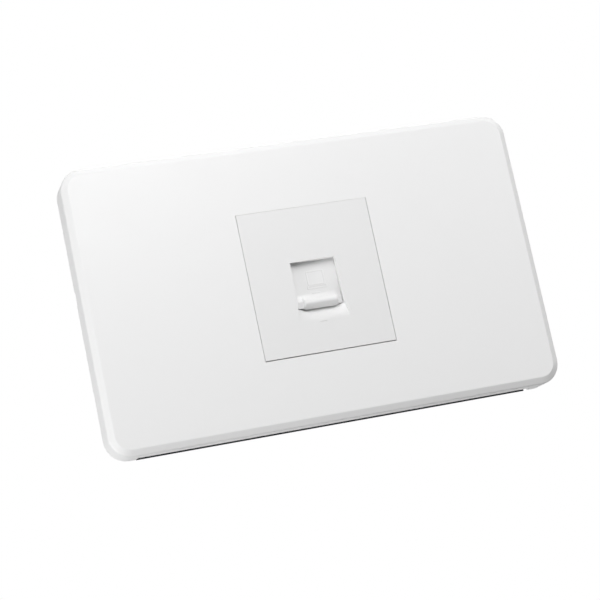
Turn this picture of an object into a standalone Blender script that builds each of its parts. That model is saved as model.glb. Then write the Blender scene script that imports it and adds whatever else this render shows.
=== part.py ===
# Ethernet wall socket: a snap-on cover plate over a mounting frame, and a socket module with a
# spring-returned dust shutter in front of an eight-contact jack and its punch-down wire block.
# The origin is the centre of the plate in the wall plane. The front faces -Y, up is +Z.

import math

import bmesh
import bpy
from mathutils import Matrix

# Cover plate
PLATE_WIDTH = 0.118
PLATE_HEIGHT = 0.072
PLATE_DEPTH = 0.010
PLATE_CORNER_RADIUS = 0.008
COVER_WALL = 0.002
CHAMFER_INSET = 0.00165
CHAMFER_DEPTH = 0.0010
CHAMFER_ROUNDING = 0.0005
COVER_RIB_HEIGHT = 0.0016
COVER_RIB_WIDTH = 0.0012
COVER_RIB_OFFSET = 0.0070
COLLAR_WALL = 0.0012
PRY_NOTCH_Z = 0.0053
PRY_NOTCH_WIDTH = 0.0032
PRY_NOTCH_HEIGHT = 0.0008

# Snap hooks that hold the cover on the frame
HOOK_END_INSET = 0.0210
HOOK_EDGE_INSET = 0.0075
HOOK_WIDTH = 0.006
HOOK_THICKNESS = 0.0014
HOOK_BARB = 0.0007
HOOK_TIP = 0.0013
HOOK_FLEX = 0.0009

# Mounting frame
FLANGE_THICKNESS = 0.0015
FLANGE_LONG_INSET = 0.0001
FLANGE_END_INSET = 0.0015
FLANGE_CORNER_RADIUS = 0.0105
FRAME_PLATE = 0.0018
FRAME_WALL = 0.0020
FRAME_RIB_WIDTH = 0.0014
FRAME_RIB_OFFSET = 0.0068
SCREW_SPACING = 0.0835
SCREW_SLOT_LENGTH = 0.0070
BOSS_WALL = 0.0024

# Wall screws
SCREW_SHANK_RADIUS = 0.00195
SCREW_LENGTH = 0.025
SCREW_HEAD_RADIUS = 0.0037
SCREW_HEAD_HEIGHT = 0.0024
SCREW_HEAD_ROOM = 0.0011
SCREW_HEAD_DOME = 0.0014
SCREW_HEAD_CROWN_RADIUS = 0.0022
SCREW_POINT_LENGTH = 0.0015
SCREW_RECESS_WIDTH = 0.0009
SCREW_RECESS_LENGTH = 0.0042
SCREW_RECESS_DEPTH = 0.0013

# Socket module: face, skirt and port
MODULE_WIDTH = 0.0343
MODULE_HEIGHT = 0.0373
MODULE_WALL = 0.0015
SKIRT_INSET = 0.0004
SKIRT_WALL = 0.0014
SKIRT_REAR = 0.0015
LEDGE_WIDTH = 0.0108
LEDGE_OUT = 0.0009
LEDGE_THICKNESS = 0.0014
CATCH_WIDTH = 0.008
CATCH_BARB = 0.0008
CATCH_SLIT = 0.0008
CATCH_LENGTH = 0.0024
PORT_WIDTH = 0.0119
PORT_TOP = 0.00475
FLARE_TOP = -0.0056
SCOOP_WIDTH = 0.0136
SCOOP_BOTTOM = -0.01095
SCOOP_DEPTH = 0.0024
SCOOP_WALL = 0.0014

# Shutter and its springs
SHUTTER_THICKNESS = 0.0012
SHUTTER_OVERLAP = 0.0010
SHUTTER_BOTTOM = -0.00695
LIP_TOP = -0.0050
LIP_RISE = 0.0018
LIP_NOSE = 0.0005
LIP_RECESS = 0.00015
LIP_WIDTH = 0.0103
LIP_END_ROUND = 0.0014
LIP_END_REACH = 0.25
EAR_HEIGHT = 0.0024
SPRING_RADIUS = 0.00090
SPRING_WIRE_RADIUS = 0.00015
SPRING_TURNS = 14
STOP_HEIGHT = 0.0012
GUIDE_WALL = 0.0012

# Jack retainer
RETAINER_THICKNESS = 0.0015
RETAINER_TAB_X = 0.009
RETAINER_TAB_WIDTH = 0.0054
RETAINER_TAB_THICKNESS = 0.0011
RAIL_WIDTH = 0.0012
ARM_WIDTH = 0.008
ARM_THICKNESS = 0.0013
ARM_LENGTH = 0.0094
ARM_WINDOW_WIDTH = 0.0050
ARM_WINDOW_LENGTH = 0.0022

# Jack housing and plug cavity
JACK_SIDE_WALL = 0.00155
JACK_BACK_WALL = 0.0028
JACK_WALL = 0.0012
JACK_LUG_OUT = 0.0011
JACK_LUG_THICKNESS = 0.0012
CAVITY_HEIGHT = 0.0068
CAVITY_DEPTH = 0.0132
LATCH_WIDTH = 0.0064
LATCH_STEP = 0.0009
LATCH_DROP = 0.0022
LATCH_SLOT_WIDTH = 0.0036
LATCH_LIP = 0.0020
LATCH_LENGTH = 0.0076

# Contacts and their carrier
CONTACT_COUNT = 8
CONTACT_PITCH = 0.001016
CONTACT_RADIUS = 0.0002
CONTACT_GROOVE = 0.0007
CONTACT_ROW_STEP = 0.0014
CONTACT_BEND = 0.00035
CONTACT_REACH = 0.0056
CONTACT_DROP = 0.0020
CONTACT_TIP = 0.0008
CARRIER_MARGIN = 0.0019
CARRIER_HEIGHT = 0.0029
CARRIER_SETBACK = 0.0018
CARRIER_WALL_TO_WIRE = 0.0008

# Circuit board
BOARD_THICKNESS = 0.0012
BOARD_HOLE_RADIUS = 0.0004

# Punch-down block and its blades
BLOCK_END_WALL = 0.0008
BLOCK_BASE = 0.0020
TOWER_HEIGHT = 0.0070
WIRE_AISLE = 0.0050
WIRE_SLOTS = 4
WIRE_SLOT_PITCH = 0.0040
WIRE_SLOT_WIDTH = 0.0010
WIRE_SLOT_DEPTH = 0.0056
TOWER_POINT = 0.0016
TOWER_POINT_SPREAD = 0.0013
BLADE_THICKNESS = 0.0005
BLADE_WIDTH = 0.0027
BLADE_LENGTH = 0.0070
BLADE_TAIL_WIDTH = 0.0007
BLADE_FORK_WIDTH = 0.0005
BLADE_FORK_DEPTH = 0.0040
BLADE_GAP = 0.0002
LEG_WIDTH = 0.0052
LEG_THICKNESS = 0.0012
LEG_REACH = 0.0034
LEG_BARB = 0.0007
LEG_BARB_LENGTH = 0.0010

# Clearances: pieces that touch, pieces that slip into each other, and the visible joint line
SEAT_GAP = 0.0003
SLIP_GAP = 0.0004
FACE_GAP = 0.00025

# Overlap of shapes that are joined, and overshoot of cutters
WELD = 0.0003
OVERSHOOT = 0.0010

# Fineness of round shapes, and the bend up to which a face is shaded smooth
CORNER_SEGMENTS = 8
ROUND_SEGMENTS = 24
SMOOTH_ANGLE = math.radians(25)

# Levels along Y, from the front face to the wire block
FACE_Y = -PLATE_DEPTH
COVER_BACK_Y = FACE_Y + COVER_WALL
RIM_Y = -FLANGE_THICKNESS - SEAT_GAP
FRAME_FRONT_Y = COVER_BACK_Y + SCREW_HEAD_ROOM + SCREW_HEAD_HEIGHT + SEAT_GAP
FRAME_BACK_Y = FRAME_FRONT_Y + FRAME_PLATE
MODULE_BACK_Y = FACE_Y + MODULE_WALL
SHUTTER_FRONT_Y = MODULE_BACK_Y + SEAT_GAP
SHUTTER_BACK_Y = SHUTTER_FRONT_Y + SHUTTER_THICKNESS
JACK_FRONT_Y = SHUTTER_BACK_Y + SLIP_GAP
SPRING_Y = MODULE_BACK_Y + SEAT_GAP + SPRING_RADIUS + SPRING_WIRE_RADIUS
SPRING_BACK_Y = SPRING_Y + SPRING_RADIUS + SPRING_WIRE_RADIUS
RETAINER_FRONT_Y = SPRING_BACK_Y + SLIP_GAP
RETAINER_BACK_Y = RETAINER_FRONT_Y + RETAINER_THICKNESS
CAVITY_BACK_Y = JACK_FRONT_Y + CAVITY_DEPTH
JACK_BACK_Y = CAVITY_BACK_Y + JACK_BACK_WALL
BOARD_FRONT_Y = JACK_BACK_Y + SEAT_GAP
BOARD_BACK_Y = BOARD_FRONT_Y + BOARD_THICKNESS
BLOCK_FRONT_Y = BOARD_BACK_Y + SEAT_GAP
BLOCK_BASE_Y = BLOCK_FRONT_Y + BLOCK_BASE
BLOCK_BACK_Y = BLOCK_BASE_Y + TOWER_HEIGHT

# Sizes worked out from the driving dimensions
SKIRT_WIDTH = MODULE_WIDTH - 2 * SKIRT_INSET
SKIRT_HEIGHT = MODULE_HEIGHT - 2 * SKIRT_INSET
SKIRT_INNER_WIDTH = SKIRT_WIDTH - 2 * SKIRT_WALL
SKIRT_INNER_HEIGHT = SKIRT_HEIGHT - 2 * SKIRT_WALL
COVER_WINDOW_WIDTH = MODULE_WIDTH + 2 * FACE_GAP
COVER_WINDOW_HEIGHT = MODULE_HEIGHT + 2 * FACE_GAP
COVER_RIB_X = COVER_WINDOW_WIDTH / 2 + COVER_RIB_OFFSET
FRAME_RIB_X = SKIRT_WIDTH / 2 + FRAME_RIB_OFFSET
HOOK_X = PLATE_WIDTH / 2 - HOOK_END_INSET
HOOK_Z = PLATE_HEIGHT / 2 - HOOK_EDGE_INSET
JACK_WIDTH = PORT_WIDTH + 2 * JACK_SIDE_WALL
SPRING_X = JACK_WIDTH / 2 + SEAT_GAP + SPRING_RADIUS + SPRING_WIRE_RADIUS
STOP_TOP = SHUTTER_BOTTOM - SEAT_GAP
SHUTTER_WIDTH = PORT_WIDTH + 2 * SHUTTER_OVERLAP
SHUTTER_TOP = PORT_TOP + SHUTTER_OVERLAP
LIP_DEPTH = MODULE_WALL + SEAT_GAP - LIP_RECESS
LIP_CLEAR_ANGLE = math.acos(1 - SEAT_GAP / LIP_DEPTH)
LIP_STOP_Z = LIP_TOP + LIP_RISE * (1 - math.sin(LIP_CLEAR_ANGLE))
SHUTTER_TRAVEL = PORT_TOP - LIP_STOP_Z - SEAT_GAP
SPRING_OUTER_X = SPRING_X + SPRING_RADIUS + SPRING_WIRE_RADIUS
GUIDE_X = SPRING_OUTER_X + SLIP_GAP
EAR_TOP = SHUTTER_BOTTOM + EAR_HEIGHT
CAVITY_TOP = SHUTTER_BOTTOM + SHUTTER_TRAVEL - SEAT_GAP
CAVITY_BOTTOM = CAVITY_TOP - CAVITY_HEIGHT
LATCH_BOTTOM = CAVITY_BOTTOM - LATCH_DROP
POCKET_TOP = CAVITY_TOP + CARRIER_HEIGHT + 2 * SEAT_GAP
JACK_TOP = POCKET_TOP + JACK_WALL
JACK_BOTTOM = LATCH_BOTTOM - JACK_WALL
JACK_CENTRE_Z = (JACK_TOP + JACK_BOTTOM) / 2
CARRIER_BOTTOM = CAVITY_TOP + SEAT_GAP
CARRIER_TOP = CARRIER_BOTTOM + CARRIER_HEIGHT
WIRE_Z = CARRIER_BOTTOM + CARRIER_WALL_TO_WIRE
CARRIER_FRONT_Y = JACK_FRONT_Y + LATCH_LIP + CARRIER_SETBACK
CARRIER_BACK_Y = JACK_BACK_Y - SEAT_GAP
CARRIER_WIDTH = (CONTACT_COUNT - 1) * CONTACT_PITCH + 2 * CARRIER_MARGIN
BLOCK_WIDTH = JACK_WIDTH + 2 * (SEAT_GAP + LEG_THICKNESS)
BLOCK_HEIGHT = WIRE_SLOTS * WIRE_SLOT_PITCH + 2 * BLOCK_END_WALL
BLADE_X = (WIRE_AISLE + BLOCK_WIDTH) / 4
BLADE_BACK_Y = BLOCK_FRONT_Y + BLADE_LENGTH
NUB_Y = RETAINER_BACK_Y + ARM_LENGTH - ARM_WINDOW_LENGTH
LEG_BARB_FRONT_Y = BOARD_FRONT_Y - LEG_REACH
LEG_BARB_BACK_Y = LEG_BARB_FRONT_Y + LEG_BARB_LENGTH


def clear_scene():
    for item in list(bpy.data.objects):
        bpy.data.objects.remove(item, do_unlink=True)


def make_material(name, colour, roughness, metallic=0.0):
    material = bpy.data.materials.new(name)
    material.use_nodes = True
    shader = material.node_tree.nodes["Principled BSDF"]
    shader.inputs["Base Color"].default_value = (*colour, 1.0)
    shader.inputs["Roughness"].default_value = roughness
    shader.inputs["Metallic"].default_value = metallic
    return material


def add_object(name, mesh, location=(0.0, 0.0, 0.0)):
    item = bpy.data.objects.new(name, mesh)
    item.location = location
    bpy.context.collection.objects.link(item)
    return item


def finish(item, name, material, origin=None):
    """Names a finished piece, gives it its origin and material, and smooths its round faces."""
    if origin:
        item.data.transform(Matrix.Translation(origin).inverted())
        item.location = origin
    item.name = name
    item.data.name = name
    item.data.materials.clear()
    item.data.materials.append(material)
    if item.type == "MESH":
        item.data.shade_smooth()
        item.data.set_sharp_from_angle(angle=SMOOTH_ANGLE)
    return item


def rectangle(width, height, centre_x=0.0, centre_z=0.0):
    return [
        (centre_x + width / 2, centre_z + height / 2),
        (centre_x - width / 2, centre_z + height / 2),
        (centre_x - width / 2, centre_z - height / 2),
        (centre_x + width / 2, centre_z - height / 2),
    ]


def rounded_rectangle(width, height, radius, centre_x=0.0, centre_z=0.0):
    points = []
    for corner, (side_x, side_z) in enumerate(((1, 1), (-1, 1), (-1, -1), (1, -1))):
        for step in range(CORNER_SEGMENTS + 1):
            angle = math.pi / 2 * (corner + step / CORNER_SEGMENTS)
            x = side_x * (width / 2 - radius) + radius * math.cos(angle)
            z = side_z * (height / 2 - radius) + radius * math.sin(angle)
            points.append((centre_x + x, centre_z + z))
    return points


def circle(radius, centre_x=0.0, centre_z=0.0, segments=ROUND_SEGMENTS):
    angles = [2 * math.pi * step / segments for step in range(segments)]
    return [(centre_x + radius * math.cos(a), centre_z + radius * math.sin(a)) for a in angles]


def rounded_corner(before, corner, after, radius, segments=3):
    """Arc of points that rounds the corner of a path, from one side to the other."""
    points = []
    reach_in = min(radius / math.dist(before, corner), 0.5)
    reach_out = min(radius / math.dist(after, corner), 0.5)
    start = [c + (b - c) * reach_in for b, c in zip(before, corner)]
    end = [c + (a - c) * reach_out for a, c in zip(after, corner)]
    for step in range(segments + 1):
        t = step / segments
        points.append(tuple(
            (1 - t) ** 2 * s + 2 * t * (1 - t) * c + t ** 2 * e
            for s, c, e in zip(start, corner, end)
        ))
    return points


def loft(sections, axis="Y"):
    """Closed skin through outlines with equal counts of points, each at its level on the axis."""
    place = {
        "X": lambda a, b, level: (level, a, b),
        "Y": lambda a, b, level: (a, level, b),
        "Z": lambda a, b, level: (a, b, level),
    }[axis]
    skin = bmesh.new()
    rings = [[skin.verts.new(place(a, b, level)) for a, b in outline] for outline, level in sections]
    skin.faces.new(rings[0])
    skin.faces.new(rings[-1])
    count = len(rings[0])
    for near, far in zip(rings, rings[1:]):
        for step in range(count):
            after = (step + 1) % count
            skin.faces.new((near[step], near[after], far[after], far[step]))
    bmesh.ops.recalc_face_normals(skin, faces=skin.faces)
    mesh = bpy.data.meshes.new("loft")
    skin.to_mesh(mesh)
    skin.free()
    return add_object("loft", mesh)


def prism(outline, start, end, axis="Y"):
    return loft([(outline, start), (outline, end)], axis)


def block(x_range, y_range, z_range):
    (x0, x1), (y0, y1), (z0, z1) = (sorted(span) for span in (x_range, y_range, z_range))
    return prism([(x0, z0), (x1, z0), (x1, z1), (x0, z1)], y0, y1)


def mirrored_blocks(x_range, y_range, z_range):
    """The same block on the left and on the right."""
    return [
        block([side * x for x in x_range], y_range, z_range)
        for side in (-1, 1)
    ]


def hull(points):
    """Convex solid through a handful of corner points."""
    skin = bmesh.new()
    for point in points:
        skin.verts.new(point)
    bmesh.ops.convex_hull(skin, input=skin.verts)
    bmesh.ops.recalc_face_normals(skin, faces=skin.faces)
    mesh = bpy.data.meshes.new("hull")
    skin.to_mesh(mesh)
    skin.free()
    return add_object("hull", mesh)


def combine(target, operation, tools):
    """Joins the tools to a solid (UNION) or cuts them out of it (DIFFERENCE)."""
    for tool in tools:
        modifier = target.modifiers.new(operation, "BOOLEAN")
        modifier.operation = operation
        modifier.solver = "EXACT"
        modifier.object = tool
        graph = bpy.context.evaluated_depsgraph_get()
        mesh = bpy.data.meshes.new_from_object(target.evaluated_get(graph))
        target.modifiers.clear()
        target.data = mesh
        bpy.data.objects.remove(tool, do_unlink=True)
    return target


def stacked(tools):
    """One cutter from several that don't touch each other."""
    first = tools[0]
    skin = bmesh.new()
    for tool in tools:
        skin.from_mesh(tool.data)
    skin.to_mesh(first.data)
    skin.free()
    for tool in tools[1:]:
        bpy.data.objects.remove(tool, do_unlink=True)
    return first


def cover_edge():
    """Side of the cover from the rim to the face, as insets from the outline at levels along Y."""
    rim = (0.0, RIM_Y)
    shoulder = (0.0, FACE_Y + CHAMFER_DEPTH)
    crest = (CHAMFER_INSET, FACE_Y)
    centre = (PLATE_HEIGHT / 2, FACE_Y)
    return (
        [rim]
        + rounded_corner(rim, shoulder, crest, CHAMFER_ROUNDING)
        + rounded_corner(shoulder, crest, centre, CHAMFER_ROUNDING)
    )


def cover_hook(side_x, side_z):
    """Post behind the face whose barb catches behind the frame's plate."""
    inner = HOOK_Z - HOOK_THICKNESS / 2
    outer = HOOK_Z + HOOK_THICKNESS / 2
    catch = FRAME_BACK_Y + SEAT_GAP
    tip = catch + HOOK_TIP
    profile = [
        (COVER_BACK_Y - WELD, inner),
        (COVER_BACK_Y - WELD, outer),
        (catch, outer),
        (catch, outer + HOOK_BARB),
        (tip, outer),
        (tip, inner),
    ]
    centre = side_x * HOOK_X
    outline = [(y, side_z * z) for y, z in profile]
    return prism(outline, centre - HOOK_WIDTH / 2, centre + HOOK_WIDTH / 2, axis="X")


def make_cover_plate(material):
    sections = []
    for inset, level in cover_edge():
        outline = rounded_rectangle(
            PLATE_WIDTH - 2 * inset, PLATE_HEIGHT - 2 * inset, PLATE_CORNER_RADIUS - inset
        )
        sections.append((outline, level))
    cover = loft(sections)
    hollow_width = PLATE_WIDTH - 2 * COVER_WALL
    hollow_height = PLATE_HEIGHT - 2 * COVER_WALL
    hollow = prism(
        rounded_rectangle(hollow_width, hollow_height, PLATE_CORNER_RADIUS - COVER_WALL),
        COVER_BACK_Y, RIM_Y + OVERSHOOT,
    )
    combine(cover, "DIFFERENCE", [hollow])

    rib_reach = hollow_height / 2 + WELD
    rib_levels = (COVER_BACK_Y - WELD, COVER_BACK_Y + COVER_RIB_HEIGHT)
    collar = prism(
        rectangle(COVER_WINDOW_WIDTH + 2 * COLLAR_WALL, COVER_WINDOW_HEIGHT + 2 * COLLAR_WALL),
        *rib_levels,
    )
    ribs = mirrored_blocks(
        (COVER_RIB_X - COVER_RIB_WIDTH / 2, COVER_RIB_X + COVER_RIB_WIDTH / 2),
        rib_levels, (-rib_reach, rib_reach),
    )
    hooks = [cover_hook(side_x, side_z) for side_x in (-1, 1) for side_z in (-1, 1)]
    combine(cover, "UNION", [collar, *ribs, *hooks])

    window = prism(
        rectangle(COVER_WINDOW_WIDTH, COVER_WINDOW_HEIGHT),
        FACE_Y - OVERSHOOT, COVER_BACK_Y + COVER_RIB_HEIGHT + OVERSHOOT,
    )
    notches = []
    for side in (-1, 1):
        edge = side * PLATE_WIDTH / 2
        notches.append(block(
            (edge - side * (COVER_WALL + OVERSHOOT), edge + side * OVERSHOOT),
            (RIM_Y - PRY_NOTCH_HEIGHT, RIM_Y + OVERSHOOT),
            (-side * PRY_NOTCH_Z - PRY_NOTCH_WIDTH / 2, -side * PRY_NOTCH_Z + PRY_NOTCH_WIDTH / 2),
        ))
    combine(cover, "DIFFERENCE", [window, *notches])
    return finish(cover, "cover_plate", material, (0.0, FACE_Y, 0.0))


def make_mounting_frame(material):
    flange = prism(
        rounded_rectangle(
            PLATE_WIDTH - 2 * FLANGE_END_INSET,
            PLATE_HEIGHT - 2 * FLANGE_LONG_INSET,
            FLANGE_CORNER_RADIUS,
        ),
        -FLANGE_THICKNESS, 0.0,
    )
    tray_inset = COVER_WALL + SLIP_GAP
    tray_width = PLATE_WIDTH - 2 * tray_inset
    tray_height = PLATE_HEIGHT - 2 * tray_inset
    tray_radius = PLATE_CORNER_RADIUS - tray_inset
    tray = prism(
        rounded_rectangle(tray_width, tray_height, tray_radius),
        FRAME_FRONT_Y, -FLANGE_THICKNESS + WELD,
    )
    frame = combine(flange, "UNION", [tray])
    hollow_height = tray_height - 2 * FRAME_WALL
    hollow = prism(
        rounded_rectangle(tray_width - 2 * FRAME_WALL, hollow_height, tray_radius - FRAME_WALL),
        FRAME_BACK_Y, OVERSHOOT,
    )
    combine(frame, "DIFFERENCE", [hollow])

    window_width = SKIRT_WIDTH + 2 * SEAT_GAP
    window_height = SKIRT_HEIGHT + 2 * SEAT_GAP
    collars = [
        block(
            (-FRAME_RIB_X, FRAME_RIB_X),
            (FRAME_BACK_Y - WELD, -SEAT_GAP),
            (side * window_height / 2, side * (window_height / 2 + FRAME_RIB_WIDTH)),
        )
        for side in (-1, 1)
    ]
    ribs = mirrored_blocks(
        (FRAME_RIB_X - FRAME_RIB_WIDTH / 2, FRAME_RIB_X + FRAME_RIB_WIDTH / 2),
        (FRAME_BACK_Y - WELD, -SEAT_GAP),
        (-hollow_height / 2 - WELD, hollow_height / 2 + WELD),
    )
    slot_height = 2 * (SCREW_SHANK_RADIUS + SEAT_GAP)
    boss_length = SCREW_SLOT_LENGTH + 2 * BOSS_WALL
    boss_height = slot_height + 2 * BOSS_WALL
    bosses = [
        prism(
            rounded_rectangle(boss_length, boss_height, boss_height / 2 - WELD / 2,
                              centre_x=side * SCREW_SPACING / 2),
            FRAME_BACK_Y - WELD, 0.0,
        )
        for side in (-1, 1)
    ]
    combine(frame, "UNION", [*collars, *ribs, *bosses])

    window = prism(
        rectangle(window_width, window_height),
        FRAME_FRONT_Y - OVERSHOOT, FRAME_BACK_Y + WELD,
    )
    screw_slots = [
        prism(
            rounded_rectangle(SCREW_SLOT_LENGTH, slot_height, slot_height / 2 - WELD / 10,
                              centre_x=side * SCREW_SPACING / 2),
            FRAME_FRONT_Y - OVERSHOOT, OVERSHOOT,
        )
        for side in (-1, 1)
    ]
    hook_slots = []
    for side_x in (-1, 1):
        for side_z in (-1, 1):
            reach = HOOK_WIDTH / 2 + SEAT_GAP
            inner = HOOK_Z - HOOK_THICKNESS / 2 - HOOK_FLEX
            outer = HOOK_Z + HOOK_THICKNESS / 2 + SEAT_GAP
            hook_slots.append(block(
                (side_x * HOOK_X - reach, side_x * HOOK_X + reach),
                (FRAME_FRONT_Y - OVERSHOOT, FRAME_BACK_Y + OVERSHOOT),
                (side_z * inner, side_z * outer),
            ))
    combine(frame, "DIFFERENCE", [stacked([window, *screw_slots, *hook_slots])])
    return finish(frame, "mounting_frame", material)


def make_screw(side, name, material):
    """Pan-head wall screw, turned about its own axis, with a cross recess in its head."""
    seat = FRAME_FRONT_Y - SEAT_GAP
    top = seat - SCREW_HEAD_HEIGHT
    point = seat + SCREW_LENGTH
    spread = SCREW_HEAD_RADIUS - SCREW_HEAD_CROWN_RADIUS
    profile = []
    for step in range(5):
        angle = math.pi / 2 * step / 4
        profile.append((
            SCREW_HEAD_CROWN_RADIUS + spread * math.sin(angle),
            top + SCREW_HEAD_DOME * (1 - math.cos(angle)),
        ))
    profile += [
        (SCREW_HEAD_RADIUS, seat),
        (SCREW_SHANK_RADIUS, seat),
        (SCREW_SHANK_RADIUS, point - SCREW_POINT_LENGTH),
        (SCREW_SHANK_RADIUS / 2, point),
    ]
    screw = loft([(circle(radius), level) for radius, level in profile])
    recess_levels = (top - OVERSHOOT, top + SCREW_RECESS_DEPTH)
    half_width = SCREW_RECESS_WIDTH / 2
    half_length = SCREW_RECESS_LENGTH / 2
    recess = [
        block((-half_width, half_width), recess_levels, (-half_length, half_length)),
        block((-half_length, half_length), recess_levels, (-half_width, half_width)),
    ]
    combine(screw, "DIFFERENCE", recess)
    screw.location.x = side * SCREW_SPACING / 2
    return finish(screw, name, material)


def flare_half_width(z):
    """Half width of the port's outline, straight above and widening down the thumb scoop."""
    share = max(0.0, (FLARE_TOP - z) / (FLARE_TOP - SCOOP_BOTTOM))
    return (PORT_WIDTH + share * (SCOOP_WIDTH - PORT_WIDTH)) / 2


def port_cutter():
    """Passage through the face, down to the ledge on which the scoop's floor begins."""
    foot = flare_half_width(STOP_TOP)
    half = PORT_WIDTH / 2
    outline = [
        (half, PORT_TOP), (-half, PORT_TOP), (-half, FLARE_TOP),
        (-foot, STOP_TOP), (foot, STOP_TOP), (half, FLARE_TOP),
    ]
    return prism(outline, FACE_Y - OVERSHOOT, MODULE_BACK_Y + WELD)


def scoop_cutter():
    """Wedge with flared sides whose floor climbs from behind the shutter's foot to the face."""
    slope = (STOP_TOP - SCOOP_BOTTOM) / SCOOP_DEPTH
    front_y = FACE_Y - OVERSHOOT
    foot_z = SCOOP_BOTTOM - slope * OVERSHOOT
    corners = []
    for side in (-1, 1):
        top = side * flare_half_width(STOP_TOP)
        corners += [
            (top, front_y, STOP_TOP + WELD),
            (top, FACE_Y + SCOOP_DEPTH, STOP_TOP + WELD),
            (top, FACE_Y + SCOOP_DEPTH, STOP_TOP),
            (side * flare_half_width(foot_z), front_y, foot_z),
        ]
    return hull(corners)


def make_module_bezel(material):
    """Face of the socket module with its skirt, port, thumb scoop and shutter guides."""
    bezel = prism(rectangle(MODULE_WIDTH, MODULE_HEIGHT), FACE_Y, MODULE_BACK_Y)
    skirt = prism(rectangle(SKIRT_WIDTH, SKIRT_HEIGHT), MODULE_BACK_Y - WELD, SKIRT_REAR)
    combine(bezel, "UNION", [skirt])
    hollow = prism(
        rectangle(SKIRT_INNER_WIDTH, SKIRT_INNER_HEIGHT), MODULE_BACK_Y, SKIRT_REAR + OVERSHOOT
    )
    combine(bezel, "DIFFERENCE", [hollow])

    guide_levels = (MODULE_BACK_Y - WELD, RETAINER_FRONT_Y - SEAT_GAP)
    guides = mirrored_blocks(
        (GUIDE_X, GUIDE_X + GUIDE_WALL), guide_levels,
        (STOP_TOP - STOP_HEIGHT, SKIRT_INNER_HEIGHT / 2 + WELD),
    )
    stop_inner = JACK_WIDTH / 2 + SLIP_GAP
    stops = mirrored_blocks(
        (stop_inner, GUIDE_X + WELD), guide_levels, (STOP_TOP - STOP_HEIGHT, STOP_TOP)
    )
    scoop_half = SCOOP_WIDTH / 2 + SCOOP_WALL
    scoop_body = block(
        (-scoop_half, scoop_half),
        (MODULE_BACK_Y - WELD, JACK_FRONT_Y - SEAT_GAP),
        (SCOOP_BOTTOM - SCOOP_WALL, STOP_TOP),
    )
    ledges = [
        block(
            (-LEDGE_WIDTH / 2, LEDGE_WIDTH / 2),
            (FRAME_FRONT_Y - SEAT_GAP - LEDGE_THICKNESS, FRAME_FRONT_Y - SEAT_GAP),
            (side * (SKIRT_HEIGHT / 2 - WELD), side * (SKIRT_HEIGHT / 2 + LEDGE_OUT)),
        )
        for side in (-1, 1)
    ]
    catches = [module_catch(side) for side in (-1, 1)]
    combine(bezel, "UNION", [*guides, *stops, scoop_body, *ledges, *catches])

    slit_front = FRAME_FRONT_Y - SEAT_GAP
    slits = [
        slit
        for side in (-1, 1)
        for slit in mirrored_blocks(
            (SKIRT_WIDTH / 2 - SKIRT_WALL - OVERSHOOT, SKIRT_WIDTH / 2 + OVERSHOOT),
            (slit_front, SKIRT_REAR + OVERSHOOT),
            (side * CATCH_WIDTH / 2, side * (CATCH_WIDTH / 2 + CATCH_SLIT)),
        )
    ]
    tab_windows = [
        window
        for side in (-1, 1)
        for window in mirrored_blocks(
            (RETAINER_TAB_X - RETAINER_TAB_WIDTH / 2 - SEAT_GAP,
             RETAINER_TAB_X + RETAINER_TAB_WIDTH / 2 + SEAT_GAP),
            (RETAINER_BACK_Y - RETAINER_TAB_THICKNESS - SEAT_GAP, RETAINER_BACK_Y + SEAT_GAP),
            (side * (SKIRT_INNER_HEIGHT / 2 - WELD), side * (SKIRT_HEIGHT / 2 + OVERSHOOT)),
        )
    ]
    cutters = [port_cutter(), scoop_cutter(), stacked([*slits, *tab_windows])]
    combine(bezel, "DIFFERENCE", cutters)
    return finish(bezel, "module_bezel", material, (0.0, FACE_Y, 0.0))


def module_catch(side):
    """Wedge on the skirt's flexing tongue that snaps behind the frame's plate."""
    root = side * (SKIRT_WIDTH / 2 - WELD)
    out = side * (SKIRT_WIDTH / 2 + CATCH_BARB)
    flat = side * SKIRT_WIDTH / 2
    shoulder = FRAME_BACK_Y + SEAT_GAP
    outline = [
        (root, shoulder), (out, shoulder), (flat, shoulder + CATCH_LENGTH),
        (root, shoulder + CATCH_LENGTH),
    ]
    return prism(outline, -CATCH_WIDTH / 2, CATCH_WIDTH / 2, axis="Z")


def lip_profile(reach):
    """Side view of the finger lip: a hollow ramp down the front, a nose and a sloping underside."""
    root_y = SHUTTER_FRONT_Y + WELD
    ramp_top = LIP_TOP + LIP_RISE
    depth = LIP_DEPTH * reach
    nose_y = SHUTTER_FRONT_Y - depth
    points = [(root_y, ramp_top)]
    for step in range(7):
        angle = math.pi / 2 * step / 6
        points.append((nose_y + depth * math.cos(angle), ramp_top - LIP_RISE * math.sin(angle)))
    points += rounded_corner(
        points[-1], (nose_y, LIP_TOP - LIP_NOSE), (SHUTTER_FRONT_Y, SHUTTER_BOTTOM), LIP_NOSE
    )
    points += [(SHUTTER_FRONT_Y, SHUTTER_BOTTOM), (root_y, SHUTTER_BOTTOM)]
    return points


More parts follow.
